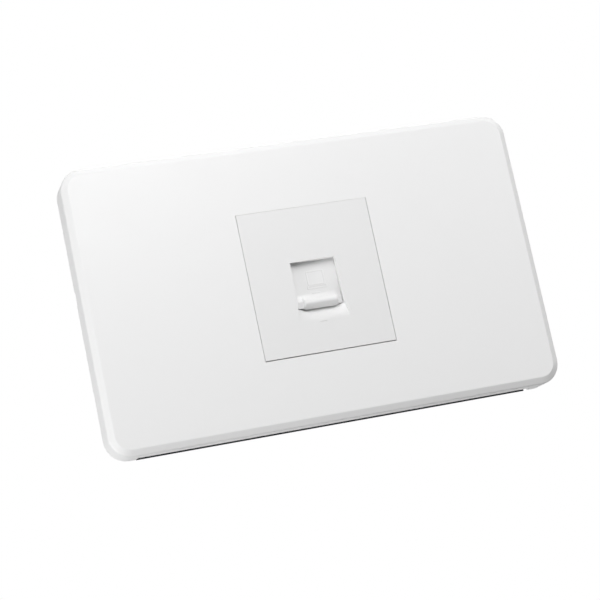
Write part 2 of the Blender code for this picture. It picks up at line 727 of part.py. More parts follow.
def make_shutter(material):
    """Sliding dust shutter with a finger lip below and an ear for a spring on each side."""
    half = SHUTTER_WIDTH / 2
    shutter = block((-half, half), (SHUTTER_FRONT_Y, SHUTTER_BACK_Y), (SHUTTER_BOTTOM, SHUTTER_TOP))
    ends = []
    for step in range(5):
        angle = math.pi / 2 * step / 4
        x = LIP_WIDTH / 2 - LIP_END_ROUND * (1 - math.sin(angle))
        ends.append((x, LIP_END_REACH + (1 - LIP_END_REACH) * math.cos(angle)))
    stations = [(-x, reach) for x, reach in reversed(ends)] + ends
    lip = loft([(lip_profile(reach), x) for x, reach in stations], axis="X")
    ears = mirrored_blocks(
        (half - WELD, SPRING_OUTER_X),
        (SHUTTER_FRONT_Y, SPRING_BACK_Y),
        (SHUTTER_BOTTOM, EAR_TOP),
    )
    spare = JACK_WIDTH / 2 + SLIP_GAP
    reliefs = mirrored_blocks(
        (half - OVERSHOOT, spare),
        (SHUTTER_BACK_Y, SPRING_BACK_Y + OVERSHOOT),
        (SHUTTER_BOTTOM - OVERSHOOT, EAR_TOP + OVERSHOOT),
    )
    combine(shutter, "UNION", [lip, *ears])
    combine(shutter, "DIFFERENCE", reliefs)
    return finish(shutter, "shutter", material, (0.0, SHUTTER_FRONT_Y, SHUTTER_BOTTOM))


def make_spring(side, name, material):
    """Compression spring between the shutter's ear and the top of the skirt."""
    bottom = EAR_TOP + SPRING_WIRE_RADIUS + SEAT_GAP / 2
    top = SKIRT_INNER_HEIGHT / 2 - SPRING_WIRE_RADIUS - SEAT_GAP / 2
    steps = 10 * SPRING_TURNS
    curve = bpy.data.curves.new(name, "CURVE")
    curve.dimensions = "3D"
    curve.bevel_depth = SPRING_WIRE_RADIUS
    curve.bevel_resolution = 1
    curve.use_fill_caps = True
    path = curve.splines.new("POLY")
    path.points.add(steps)
    for step, point in enumerate(path.points):
        angle = 2 * math.pi * SPRING_TURNS * step / steps
        rise = (top - bottom) * step / steps
        point.co = (SPRING_RADIUS * math.cos(angle), SPRING_RADIUS * math.sin(angle), rise, 1.0)
    spring = add_object(name, curve, (side * SPRING_X, SPRING_Y, bottom))
    return finish(spring, name, material)


def make_jack_retainer(material):
    """Plate behind the shutter with guide rails, side tabs and two arms that grip the jack."""
    width = SKIRT_INNER_WIDTH - 2 * SEAT_GAP
    height = SKIRT_INNER_HEIGHT - 2 * SEAT_GAP
    retainer = prism(rectangle(width, height), RETAINER_FRONT_Y, RETAINER_BACK_Y)
    opening_top = JACK_TOP + SEAT_GAP
    opening_bottom = JACK_BOTTOM - SEAT_GAP
    rail_outer = SHUTTER_WIDTH / 2
    rails = mirrored_blocks(
        (rail_outer - RAIL_WIDTH, rail_outer),
        (JACK_FRONT_Y, RETAINER_FRONT_Y + WELD),
        (opening_top, height / 2),
    )
    tabs = [
        tab
        for side in (-1, 1)
        for tab in mirrored_blocks(
            (RETAINER_TAB_X - RETAINER_TAB_WIDTH / 2, RETAINER_TAB_X + RETAINER_TAB_WIDTH / 2),
            (RETAINER_BACK_Y - RETAINER_TAB_THICKNESS, RETAINER_BACK_Y),
            (side * (height / 2 - WELD), side * (SKIRT_INNER_HEIGHT / 2 + SKIRT_WALL - SEAT_GAP)),
        )
    ]
    arms = [
        block(
            (-ARM_WIDTH / 2, ARM_WIDTH / 2),
            (RETAINER_BACK_Y - WELD, RETAINER_BACK_Y + ARM_LENGTH),
            (edge, edge + side * ARM_THICKNESS),
        )
        for side, edge in ((1, opening_top), (-1, opening_bottom))
    ]
    combine(retainer, "UNION", [*rails, *tabs, *arms])
    opening = block(
        (-JACK_WIDTH / 2 - SEAT_GAP, JACK_WIDTH / 2 + SEAT_GAP),
        (RETAINER_FRONT_Y - OVERSHOOT, RETAINER_BACK_Y + OVERSHOOT),
        (opening_bottom, opening_top),
    )
    arm_windows = [
        block(
            (-ARM_WINDOW_WIDTH / 2, ARM_WINDOW_WIDTH / 2),
            (NUB_Y - ARM_WINDOW_LENGTH / 2, NUB_Y + ARM_WINDOW_LENGTH / 2),
            (edge - side * OVERSHOOT, edge + side * (ARM_THICKNESS + OVERSHOOT)),
        )
        for side, edge in ((1, opening_top), (-1, opening_bottom))
    ]
    combine(retainer, "DIFFERENCE", [opening, *arm_windows])
    return finish(retainer, "jack_retainer", material, (0.0, RETAINER_BACK_Y, JACK_CENTRE_Z))


def make_jack_housing(material):
    """Shell of the jack: plug cavity with its latch slot below and the contacts' pocket above."""
    half = JACK_WIDTH / 2
    housing = block((-half, half), (JACK_FRONT_Y, JACK_BACK_Y), (JACK_BOTTOM, JACK_TOP))
    lugs = mirrored_blocks(
        (half - WELD, half + JACK_LUG_OUT),
        (RETAINER_BACK_Y + SEAT_GAP, RETAINER_BACK_Y + SEAT_GAP + JACK_LUG_THICKNESS),
        (CAVITY_BOTTOM, CAVITY_TOP),
    )
    nub_width = ARM_WINDOW_WIDTH - 2 * SEAT_GAP
    nub_half_length = ARM_WINDOW_LENGTH / 2 - SEAT_GAP
    nubs = []
    for side, edge in ((1, JACK_TOP), (-1, JACK_BOTTOM)):
        outline = [
            (NUB_Y - nub_half_length, edge - side * WELD),
            (NUB_Y + nub_half_length, edge - side * WELD),
            (NUB_Y + nub_half_length, edge),
            (NUB_Y - nub_half_length, edge + side * (SEAT_GAP + ARM_THICKNESS / 2)),
        ]
        nubs.append(prism(outline, -nub_width / 2, nub_width / 2, axis="X"))
    combine(housing, "UNION", [*lugs, *nubs])

    mouth = JACK_FRONT_Y - OVERSHOOT
    cavity = block(
        (-PORT_WIDTH / 2, PORT_WIDTH / 2), (mouth, CAVITY_BACK_Y), (CAVITY_BOTTOM, CAVITY_TOP)
    )
    pocket_half = CARRIER_WIDTH / 2 + SEAT_GAP
    pocket = block(
        (-pocket_half, pocket_half),
        (JACK_FRONT_Y + LATCH_LIP, JACK_BACK_Y + OVERSHOOT),
        (CAVITY_TOP - WELD, POCKET_TOP),
    )
    latch_step = block(
        (-LATCH_WIDTH / 2, LATCH_WIDTH / 2),
        (mouth, JACK_FRONT_Y + LATCH_LIP + WELD),
        (CAVITY_BOTTOM - LATCH_STEP, CAVITY_BOTTOM + WELD),
    )
    latch_slot = block(
        (-LATCH_SLOT_WIDTH / 2, LATCH_SLOT_WIDTH / 2),
        (mouth, JACK_FRONT_Y + LATCH_LIP + WELD),
        (LATCH_BOTTOM, CAVITY_BOTTOM + WELD),
    )
    latch_room = block(
        (-LATCH_WIDTH / 2, LATCH_WIDTH / 2),
        (JACK_FRONT_Y + LATCH_LIP, JACK_FRONT_Y + LATCH_LIP + LATCH_LENGTH),
        (LATCH_BOTTOM, CAVITY_BOTTOM + WELD),
    )
    leg_notches = mirrored_blocks(
        (half - LEG_BARB, half + OVERSHOOT),
        (LEG_BARB_FRONT_Y - SEAT_GAP, LEG_BARB_BACK_Y + SEAT_GAP),
        (JACK_CENTRE_Z - LEG_WIDTH / 2 - SEAT_GAP, JACK_CENTRE_Z + LEG_WIDTH / 2 + SEAT_GAP),
    )
    cutters = [cavity, pocket, latch_step, latch_slot, latch_room, *leg_notches]
    combine(housing, "DIFFERENCE", cutters)
    return finish(housing, "jack_housing", material, (0.0, JACK_FRONT_Y, JACK_CENTRE_Z))


def contact_x(number):
    return (number - (CONTACT_COUNT + 1) / 2) * CONTACT_PITCH


def contact_tail_z(number):
    """Odd tails leave low and even tails high, so that their holes in the board stand in two rows."""
    return WIRE_Z if number % 2 else WIRE_Z + CONTACT_ROW_STEP


def make_contact_carrier(material):
    """Insert over the plug cavity with a groove along its underside for each contact."""
    half = CARRIER_WIDTH / 2
    carrier = block(
        (-half, half), (CARRIER_FRONT_Y, CARRIER_BACK_Y), (CARRIER_BOTTOM, CARRIER_TOP)
    )
    clearance = CONTACT_GROOVE / 2
    low_grooves = []
    high_grooves = []
    for number in range(1, CONTACT_COUNT + 1):
        x_range = (contact_x(number) - clearance, contact_x(number) + clearance)
        low_grooves.append(block(
            x_range,
            (CARRIER_FRONT_Y - OVERSHOOT, CARRIER_BACK_Y + OVERSHOOT),
            (CARRIER_BOTTOM - OVERSHOOT, WIRE_Z + clearance),
        ))
        if number % 2 == 0:
            high_grooves.append(block(
                x_range,
                (CARRIER_BACK_Y - 2 * CONTACT_ROW_STEP, CARRIER_BACK_Y + OVERSHOOT),
                (WIRE_Z, contact_tail_z(number) + clearance),
            ))
    combine(carrier, "DIFFERENCE", [stacked(low_grooves), stacked(high_grooves)])
    return finish(carrier, "contact_carrier", material, (0.0, CARRIER_FRONT_Y, WIRE_Z))


def make_contact(number, material):
    """Spring wire from the board, forward over the cavity, round the front and back down into it."""
    tail_z = contact_tail_z(number)
    points = [(BOARD_BACK_Y, tail_z)]
    if tail_z > WIRE_Z:
        rise_back = CARRIER_BACK_Y - CONTACT_ROW_STEP / 2
        points += [(rise_back, tail_z), (rise_back - CONTACT_ROW_STEP / 2, WIRE_Z)]
    bend_y = CARRIER_FRONT_Y - SEAT_GAP - CONTACT_RADIUS
    for step in range(7):
        angle = math.pi * step / 6
        points.append((
            bend_y - CONTACT_BEND * math.sin(angle),
            WIRE_Z - CONTACT_BEND + CONTACT_BEND * math.cos(angle),
        ))
    tip_y = CARRIER_FRONT_Y + CONTACT_REACH
    tip_z = CARRIER_BOTTOM - CONTACT_DROP
    points += [(tip_y, tip_z), (tip_y + CONTACT_TIP, tip_z + CONTACT_RADIUS)]
    name = f"contact_{number}"
    curve = bpy.data.curves.new(name, "CURVE")
    curve.dimensions = "3D"
    curve.bevel_depth = CONTACT_RADIUS
    curve.bevel_resolution = 1
    curve.use_fill_caps = True
    path = curve.splines.new("POLY")
    path.points.add(len(points) - 1)
    for (y, z), point in zip(points, path.points):
        point.co = (0.0, y, z, 1.0)
    contact = add_object(name, curve, (contact_x(number), 0.0, 0.0))
    return finish(contact, name, material)


def slot_centres():
    """Centres of the punch-down slots, as the side and the height of each."""
    return [
        (side, JACK_CENTRE_Z + ((WIRE_SLOTS - 1) / 2 - row) * WIRE_SLOT_PITCH)
        for side in (-1, 1)
        for row in range(WIRE_SLOTS)
    ]


def make_circuit_board(material):
    """Board behind the jack, drilled for the contacts' tails and slotted for the blades."""
    board = prism(
        rectangle(JACK_WIDTH, BLOCK_HEIGHT, centre_z=JACK_CENTRE_Z), BOARD_FRONT_Y, BOARD_BACK_Y
    )
    levels = (BOARD_FRONT_Y - OVERSHOOT, BOARD_BACK_Y + OVERSHOOT)
    holes = [
        prism(
            circle(BOARD_HOLE_RADIUS, contact_x(number), contact_tail_z(number), segments=10),
            *levels,
        )
        for number in range(1, CONTACT_COUNT + 1)
    ]
    slots = [
        prism(
            rectangle(
                BLADE_THICKNESS + 2 * BLADE_GAP, BLADE_TAIL_WIDTH + 2 * BLADE_GAP,
                side * BLADE_X, centre,
            ),
            *levels,
        )
        for side, centre in slot_centres()
    ]
    combine(board, "DIFFERENCE", [stacked([*holes, *slots])])
    return finish(board, "circuit_board", material, (0.0, BOARD_FRONT_Y, JACK_CENTRE_Z))


def make_idc_block(material):
    """Punch-down block: two rows of pointed towers with a wire slot and a blade pocket between."""
    half_width = BLOCK_WIDTH / 2
    half_height = BLOCK_HEIGHT / 2
    z_range = (JACK_CENTRE_Z - half_height, JACK_CENTRE_Z + half_height)
    body = block((-half_width, half_width), (BLOCK_FRONT_Y, BLOCK_BACK_Y), z_range)
    leg_inner = JACK_WIDTH / 2 + SEAT_GAP
    leg_z = (JACK_CENTRE_Z - LEG_WIDTH / 2, JACK_CENTRE_Z + LEG_WIDTH / 2)
    legs = mirrored_blocks(
        (leg_inner, leg_inner + LEG_THICKNESS), (LEG_BARB_FRONT_Y, BLOCK_FRONT_Y + WELD), leg_z
    )
    barbs = mirrored_blocks(
        (JACK_WIDTH / 2 - LEG_BARB + SEAT_GAP, leg_inner + WELD),
        (LEG_BARB_FRONT_Y, LEG_BARB_BACK_Y),
        leg_z,
    )
    combine(body, "UNION", [*legs, *barbs])

    aisle = block(
        (-WIRE_AISLE / 2, WIRE_AISLE / 2),
        (BLOCK_BASE_Y, BLOCK_BACK_Y + OVERSHOOT),
        (z_range[0] - OVERSHOOT, z_range[1] + OVERSHOOT),
    )
    slot_floor = BLOCK_BACK_Y - WIRE_SLOT_DEPTH
    notches = []
    pockets = []
    for row in range(WIRE_SLOTS):
        centre = slot_centres()[row][1]
        half_slot = WIRE_SLOT_WIDTH / 2
        spread = half_slot + TOWER_POINT_SPREAD
        outline = [
            (slot_floor, centre - half_slot),
            (BLOCK_BACK_Y - TOWER_POINT, centre - half_slot),
            (BLOCK_BACK_Y + OVERSHOOT, centre - spread - TOWER_POINT_SPREAD * OVERSHOOT / TOWER_POINT),
            (BLOCK_BACK_Y + OVERSHOOT, centre + spread + TOWER_POINT_SPREAD * OVERSHOOT / TOWER_POINT),
            (BLOCK_BACK_Y - TOWER_POINT, centre + half_slot),
            (slot_floor, centre + half_slot),
        ]
        reach = half_width + OVERSHOOT
        notches.append(prism(outline, -reach, reach, axis="X"))
        half_pocket = BLADE_WIDTH / 2 + BLADE_GAP
        half_gap = BLADE_THICKNESS / 2 + BLADE_GAP
        pockets += mirrored_blocks(
            (BLADE_X - half_gap, BLADE_X + half_gap),
            (BLOCK_FRONT_Y - OVERSHOOT, BLADE_BACK_Y + BLADE_GAP),
            (centre - half_pocket, centre + half_pocket),
        )
    combine(body, "DIFFERENCE", [aisle, *notches, stacked(pockets)])
    return finish(body, "idc_block", material, (0.0, BLOCK_FRONT_Y, JACK_CENTRE_Z))


def blade_mesh():
    """Forked blade that cuts through a wire's insulation, with a tail for the board."""
    half = BLADE_WIDTH / 2
    fork = BLADE_FORK_WIDTH / 2
    tail = BLADE_TAIL_WIDTH / 2
    root = BLOCK_FRONT_Y + BLADE_GAP
    fork_floor = BLADE_BACK_Y - BLADE_FORK_DEPTH
    side = [
        (BOARD_FRONT_Y, tail),
        (root, tail),
        (root, half),
        (BLADE_BACK_Y - fork, half),
        (BLADE_BACK_Y, half - fork),
        (BLADE_BACK_Y - 2 * fork, fork),
        (fork_floor, fork),
    ]
    outline = side + [(y, -z) for y, z in reversed(side)]
    blade = prism(outline, -BLADE_THICKNESS / 2, BLADE_THICKNESS / 2, axis="X")
    mesh = blade.data
    bpy.data.objects.remove(blade, do_unlink=True)
    return mesh


def build():
    clear_scene()
    white = make_material("white_plastic", (0.82, 0.82, 0.81), 0.32)
    face_white = make_material("module_white_plastic", (0.80, 0.80, 0.79), 0.36)
    dark = make_material("dark_frame_plastic", (0.035, 0.036, 0.038), 0.55)
    jack_plastic = make_material("jack_plastic", (0.70, 0.70, 0.68), 0.45)
    carrier_plastic = make_material("carrier_plastic", (0.05, 0.05, 0.055), 0.50)
    board_green = make_material("circuit_board_green", (0.02, 0.16, 0.07), 0.40)
    block_plastic = make_material("wire_block_plastic", (0.74, 0.74, 0.72), 0.45)
    gold = make_material("gold_plated_bronze", (0.83, 0.60, 0.26), 0.25, 1.0)
    tin = make_material("tinned_bronze", (0.66, 0.64, 0.60), 0.35, 1.0)
    spring_steel = make_material("spring_steel", (0.60, 0.60, 0.60), 0.30, 1.0)
    zinc = make_material("zinc_plated_steel", (0.62, 0.63, 0.64), 0.35, 1.0)

    make_cover_plate(white)
    make_mounting_frame(dark)
    make_module_bezel(face_white)
    make_shutter(face_white)
    make_jack_retainer(white)
    make_jack_housing(jack_plastic)
    make_contact_carrier(carrier_plastic)
    make_circuit_board(board_green)
    make_idc_block(block_plastic)
    for side, hand in ((-1, "left"), (1, "right")):
        make_screw(side, f"mounting_screw_{hand}", zinc)
        make_spring(side, f"shutter_spring_{hand}", spring_steel)
    for number in range(1, CONTACT_COUNT + 1):
        make_contact(number, gold)
    blade = blade_mesh()
    for number, (side, centre) in enumerate(slot_centres(), start=1):
        item = add_object("blade", blade, (side * BLADE_X, 0.0, centre))
        finish(item, f"idc_blade_{number}", tin)


build()
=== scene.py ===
import math

import bmesh
import bpy
from mathutils import Matrix, Vector


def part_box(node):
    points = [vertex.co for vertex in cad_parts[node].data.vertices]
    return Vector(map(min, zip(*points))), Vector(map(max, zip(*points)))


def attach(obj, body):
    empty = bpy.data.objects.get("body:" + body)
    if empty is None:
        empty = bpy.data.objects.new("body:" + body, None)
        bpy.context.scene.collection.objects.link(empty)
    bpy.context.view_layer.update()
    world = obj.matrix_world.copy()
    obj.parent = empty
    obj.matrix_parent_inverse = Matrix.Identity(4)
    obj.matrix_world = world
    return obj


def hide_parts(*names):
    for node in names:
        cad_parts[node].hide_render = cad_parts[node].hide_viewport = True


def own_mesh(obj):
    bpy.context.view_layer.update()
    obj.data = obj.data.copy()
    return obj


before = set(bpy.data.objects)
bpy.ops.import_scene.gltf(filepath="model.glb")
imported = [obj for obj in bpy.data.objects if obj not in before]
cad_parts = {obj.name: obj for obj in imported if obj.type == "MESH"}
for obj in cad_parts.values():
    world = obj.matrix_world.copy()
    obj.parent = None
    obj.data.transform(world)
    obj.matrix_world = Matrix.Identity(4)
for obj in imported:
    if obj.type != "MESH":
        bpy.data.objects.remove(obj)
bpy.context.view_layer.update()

MM = 0.001

# Cover plate, in metres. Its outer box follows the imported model.
PLATE_CORNER_RADIUS = 5.6 * MM
COVER_WALL = 2.0 * MM
CHAMFER_INSET = 1.65 * MM
CHAMFER_DEPTH = 1.0 * MM
CREST_ROUNDING = 0.22 * MM
SHOULDER_ROUNDING = 0.40 * MM
COVER_RIB_HEIGHT = 1.6 * MM
COVER_RIB_WIDTH = 1.2 * MM
COVER_RIB_OFFSET = 7.0 * MM
COLLAR_WALL = 1.2 * MM
SIDE_GAPS = (0.09 * MM, 0.14 * MM)
TOP_GAP = 0.03 * MM
BOTTOM_GAP = 0.24 * MM
PRY_NOTCH_Z = 5.3 * MM
PRY_NOTCH_WIDTH = 3.2 * MM
PRY_NOTCH_HEIGHT = 0.8 * MM
PRY_NOTCH_DEPTH = 3.0 * MM
HOOK_X = 38.0 * MM
HOOK_Z = 28.5 * MM
HOOK_WIDTH = 6.0 * MM
HOOK_THICKNESS = 1.4 * MM
HOOK_BARB = 0.7 * MM
HOOK_TIP = 1.3 * MM
HOOK_CATCH_Y = -2.1 * MM

# Shutter, its lip and its moulded mark
PANEL_HALF_WIDTH = 6.95 * MM
PANEL_TOP = 5.75 * MM
PANEL_FRONT_Y = -8.35 * MM
PANEL_BACK_Y = -7.0 * MM
PANEL_FOOT = -6.95 * MM
LIP_RAMP_TOP = -3.3 * MM
LIP_RAMP_POWER = 2.0
LIP_NOSE_Y = -9.95 * MM
LIP_NOSE_Z = -5.78 * MM
LIP_NOSE_RADIUS = 0.75 * MM
LIP_NOSE_ANGLES = (47.0, -45.0)
LIP_BROW = 0.9 * MM
LIP_CENTRE_X = 0.25 * MM
LIP_TAPER = (4.1 * MM, 4.75 * MM)
LIP_STEPS = 12
TOE_FOOT = -7.32 * MM
PLINTH_Y = -9.0 * MM
PLINTH_HALF_WIDTH = 5.8 * MM
EAR_FRONT_Y = -8.2 * MM
EAR_HALF_WIDTH = 9.9 * MM
EAR_BACK_Y = -6.1 * MM
EAR_TOP = -4.55 * MM
EAR_INNER_X = 7.9 * MM
MARK_HEIGHT = 0.09 * MM
MARK_LINE = 0.32 * MM
MARK_CENTRE_X = 0.3 * MM
# Half width, foot and top, and corner radius of the sign's two frames
SIGN_SCREEN = (2.3 * MM, (-1.35 * MM, 2.35 * MM), 0.35 * MM)
SIGN_CASE = (2.6 * MM, (-2.35 * MM, -1.40 * MM), 0.15 * MM)
# Width and height, corner radius and centre of its bar of keys
SIGN_KEYS = (2.2 * MM, 0.36 * MM)
SIGN_KEYS_CORNER = 0.15 * MM
SIGN_KEYS_CENTRE = (-0.3 * MM, -3.35 * MM)
SIGN_STEPS = 4

# Springs
SPRING_RADIUS = 0.90 * MM
SPRING_WIRE_RADIUS = 0.15 * MM
SPRING_TURNS = 16.0
SPRING_END_TURNS = 1.25
SPRING_POINTS = 385
SPRING_WIRE_SIDES = 10
# Pitch of the end turns in wire radii: two would touch
SPRING_CLOSED_PITCH = 2.15

# Contacts, one for each wire of the cable
WAYS = 8
CONTACT_PITCH = 1.016 * MM
CONTACT_RADIUS = 0.2 * MM
CONTACT_FRONT_BEND = 0.35 * MM
CONTACT_BEND_Y = -3.3 * MM
CONTACT_TIP = ((2.8 * MM, -0.266 * MM), (3.6 * MM, -0.066 * MM))
WIRE_Z = 2.534 * MM
# Odd and even contacts: place of the first, in pitches, and level of the tails
CONTACT_ROWS = ((-3.5, WIRE_Z), (-2.5, WIRE_Z + 1.4 * MM))
CONTACT_FILLET = 0.35 * MM
CONTACT_SIDES = 14
CONTACT_TAIL_BEND = (8.4 * MM, 7.7 * MM)
BEND_STEPS = 12

# Board, its joints and the blades
BLADE_PITCH = 4.0 * MM
BOARD_FRONT_Y = 9.7 * MM
BOARD_BACK_Y = 10.9 * MM
TIN_THICKNESS = 0.08 * MM
ROUND_PAD = 0.62 * MM
ROUND_BORE = 0.22 * MM
SLOT_PAD = 0.80 * MM
SLOT_BORE = 0.28 * MM
SLOT_LENGTH = 0.2 * MM
SLOT_CORNER = 0.12 * MM
# How much the solder narrows and stands out
SOLDER_FRONT_INSET = 0.03 * MM
SOLDER_BACK_INSET = 0.12 * MM
SOLDER_FRONT_RISE = 0.04 * MM
SOLDER_BACK_RISE = 0.10 * MM
SOLDER_WALL = 0.08 * MM

# Wall screws
SCREW_SHANK_RADIUS = 1.95 * MM
THREAD_PITCH = 0.7 * MM
THREAD_DEPTH = 0.42 * MM
SCREW_POINT = 1.5 * MM
SCREW_HEAD_DOME = 1.4 * MM
SCREW_CROWN = 0.6
DOME_STEPS = 10
SCREW_SEAT_Y = -4.5 * MM
SCREW_HEAD_EDGE = (0.15 * MM, 0.12 * MM)
SCREW_UNDERCUT = 0.5 * MM
THREAD_START = 0.8 * MM
# Depth of the thread from root to crest and back, along one pitch
THREAD_RIDGE = (0.0, 0.35, 1.0, 1.0, 0.35, 0.0)
# Reach and half width of the cross recess at depths under the crown
SCREW_RECESS = (
    (2.4 * MM, 0.62 * MM, -0.5 * MM),
    (2.05 * MM, 0.50 * MM, 0.0),
    (1.0 * MM, 0.34 * MM, 1.3 * MM),
)
SCREW_TURN = 1.2

# Levels and places that pieces share
RIM_Y = -1.8 * MM
FRAME_BACK_Y = -2.4 * MM
MODULE_HALF_WIDTH = 17.15 * MM
MODULE_HALF_HEIGHT = 18.65 * MM
SILL_HALF_LENGTH = 51.5 * MM
SILL_FRONT_Y = -4.45 * MM
SILL_REBATE_Y = -0.6 * MM
SILL_DEPTH = 1.3 * MM
SILL_REBATE_DEPTH = 0.7 * MM
SILL_GAP = 0.3 * MM

# Thumb scoop under the port
SCOOP_FOOT = -10.95 * MM
SCOOP_SIDE_TOP = (-9.05 * MM, -7.0 * MM)
SCOOP_MIDDLE_TOP = (-7.58 * MM, -7.27 * MM)
SCOOP_MIDDLE = (3.0 * MM, 6.8 * MM)
SCOOP_HALF_WIDTH = 7.0 * MM
SCOOP_STEPS = 8

# Marks of the mould
EJECTOR_RADIUS = 1.6 * MM
EJECTOR_DEPTH = 0.12 * MM
EJECTOR_STEPS = 6
EJECTOR_PINS = ((30.0 * MM, 22.0 * MM), (50.0 * MM, 25.0 * MM), (51.5 * MM, 8.5 * MM))
GATE_MARK_X = (-1.3 * MM, 0.5 * MM)
GATE_MARK_Z = (-11.14 * MM, -10.99 * MM)
GATE_MARK_DEPTH = 0.25 * MM

# Camera, in metres and radians, found from the plate's edges in the photograph
CAMERA_PLACE = (-0.135687, -0.444648, -0.085029)
CAMERA_TURN = (1.749415, 0.205816, -0.254524)
CAMERA_LENS = 111.403
CAMERA_SENSOR = 36.0
CAMERA_CLIP = (0.01, 20.0)

# Floor, in metres. It looks pale and fades to white, but gives back little light from below.
FLOOR_Z = -0.5
FLOOR_RADIUS = 3.0
FLOOR_PAINT = ("#EFEFEE", "#EBEBEA")
FLOOR_BOUNCE = "#303030"
FLOOR_WHITE = 0.55
FLOOR_FADE = (0.1 * FLOOR_RADIUS, 0.5 * FLOOR_RADIUS)

# Lamps: name, place in metres, size in metres, power in watts
SKY_LEVEL = 0.06
LAMPS = (
    ("front_right", (0.627, -0.627, 0.156), 0.5, 1.63),
    ("front_above", (0.0, -0.390, 0.225), 0.2, 0.79),
    ("left_above", (-0.177, -0.306, 0.354), 0.15, 0.70),
    ("right_above", (0.450, -0.260, 0.300), 0.3, 0.60),
    ("overhead", (0.0, -0.026, 0.299), 0.15, 0.10),
    ("left", (-0.350, -0.094, -0.169), 0.15, 0.51),
    ("left_below", (-0.299, -0.109, -0.318), 0.2, 0.69),
    ("behind", (0.35, 0.80, 0.35), 0.6, 3.0),
)

# Overlap of shapes that are joined, and the distance under which two points are one
WELD = 0.3 * MM
MERGE = 0.0005 * MM

# Rounds on the edges of each kind of piece
THIN_EDGE = 0.06 * MM
SHUTTER_EDGE = 0.08 * MM
SIGN_EDGE = 0.025 * MM
FRAME_EDGE = 0.15 * MM
SHELL_EDGE = 0.10 * MM
COMB_EDGE = 0.05 * MM
BLOCK_EDGE = 0.12 * MM
BOARD_EDGE = 0.03 * MM
JOINT_EDGE = 0.02 * MM

# Angles between faces, in degrees: still one flat, worth a round, shaded as a sharp edge
FLAT_ANGLE = 0.4
ROUND_ANGLE = 35
SHARP_ANGLE = 58
WIRE_SHARP_ANGLE = 50
THREAD_SHARP_ANGLE = 40

# Points to a corner of the plate, and round a screw
CORNER_STEPS = 20
ROUND_STEPS = 32
# A round hole is a square whose corners take this share of it.
NEARLY_ROUND = 0.999


# Node helper and colours

def linear(colour):
    """Linear red, green, blue and alpha of a written sRGB colour."""
    channels = [int(colour[i:i + 2], 16) / 255 for i in (1, 3, 5)]
    return [c / 12.92 if c <= 0.04045 else ((c + 0.055) / 1.055) ** 2.4 for c in channels] + [1.0]


def add_node(tree, kind, inputs=None, **settings):
    """Adds one node with its settings, and gives its inputs their values or what feeds them."""
    node = tree.nodes.new(kind)
    for name, value in settings.items():
        setattr(node, name, value)
    for socket, given in (inputs or {}).items():
        if isinstance(given, bpy.types.NodeSocket):
            tree.links.new(given, node.inputs[socket])
        else:
            node.inputs[socket].default_value = given
    return node


# Materials

# Distance of glass fibres, and the scale at which a band of the wave texture is 0.6 mm wide
FIBRE_PITCH = 0.35 * MM
CLOTH_SCALE = 3.8 * MM


def eroded_grain(size):
    """Relief of a mould that was sparked or etched to a grain of that size."""
    def draw(tree, place):
        return add_node(tree, "ShaderNodeTexNoise", {
            "Vector": place, "Scale": 1 / size, "Detail": 3.0, "Roughness": 0.6,
        }).outputs["Fac"]
    return draw


def fibre_pits(tree, place):
    """Relief of glass fibres that end at the skin."""
    return add_node(tree, "ShaderNodeTexVoronoi", {
        "Vector": place, "Scale": 1 / FIBRE_PITCH,
    }).outputs["Distance"]


def glass_cloth(tree, place):
    """Relief of a plain weave, whose threads are 0.6 mm apart."""
    flat = add_node(tree, "ShaderNodeMapping", {"Vector": place, "Scale": (1.0, 0.0, 1.0)})
    threads = [
        add_node(
            tree, "ShaderNodeTexWave",
            {"Vector": flat.outputs["Vector"], "Scale": 1 / CLOTH_SCALE, "Distortion": 0.3},
            wave_type="BANDS", bands_direction=direction,
        ).outputs["Fac"]
        for direction in ("X", "Z")
    ]
    return add_node(
        tree, "ShaderNodeMath", {0: threads[0], 1: threads[1]}, operation="MULTIPLY"
    ).outputs["Value"]


def surface(name, colours, cloud, gloss, relief, depth, ior=None, metallic=0.0,
            detail=2.0, stretch=(1.0, 1.0, 1.0)):
    """Material whose colour and gloss drift in clouds of a given size, over a fine relief."""
    material = bpy.data.materials.new(name)
    material.use_nodes = True
    tree = material.node_tree
    shader = tree.nodes["Principled BSDF"]
    shader.inputs["Metallic"].default_value = metallic
    if ior:
        shader.inputs["IOR"].default_value = ior
    place = add_node(tree, "ShaderNodeTexCoord").outputs["Object"]
    space = add_node(tree, "ShaderNodeMapping", {"Vector": place, "Scale": stretch})
    clouds = add_node(tree, "ShaderNodeTexNoise", {
        "Vector": space.outputs["Vector"], "Scale": 1 / cloud, "Detail": detail,
    }).outputs["Fac"]
    tones = add_node(
        tree, "ShaderNodeMix", {0: clouds, 6: linear(colours[0]), 7: linear(colours[1])},
        data_type="RGBA",
    )
    sheen = add_node(tree, "ShaderNodeMapRange", {
        "Value": clouds, "From Min": 0.3, "From Max": 0.7, "To Min": gloss[0], "To Max": gloss[1],
    })
    bumps = add_node(tree, "ShaderNodeBump", {"Height": relief(tree, place), "Distance": depth})
    tree.links.new(tones.outputs[2], shader.inputs["Base Color"])
    tree.links.new(sheen.outputs["Result"], shader.inputs["Roughness"])
    tree.links.new(bumps.outputs["Normal"], shader.inputs["Normal"])
    return material


# ABS from a polished mould: milky white, an even soft sheen, a hardly visible orange peel.
# The real grain is finer than 0.1 mm and is drawn 0.45 mm wide so that it can be seen.
cover_abs = surface(
    "white_abs", ("#F1F1F1", "#EFEFEF"), 14 * MM, (0.33, 0.39),
    eroded_grain(0.45 * MM), 0.0022 * MM, ior=1.53,
)
# Polycarbonate, tough enough for thin snaps, is a shade flatter than the cover beside it.
module_pc = surface(
    "white_polycarbonate", ("#EAEAEA", "#E8E8E8"), 10 * MM, (0.37, 0.43),
    eroded_grain(0.40 * MM), 0.0025 * MM, ior=1.585,
)
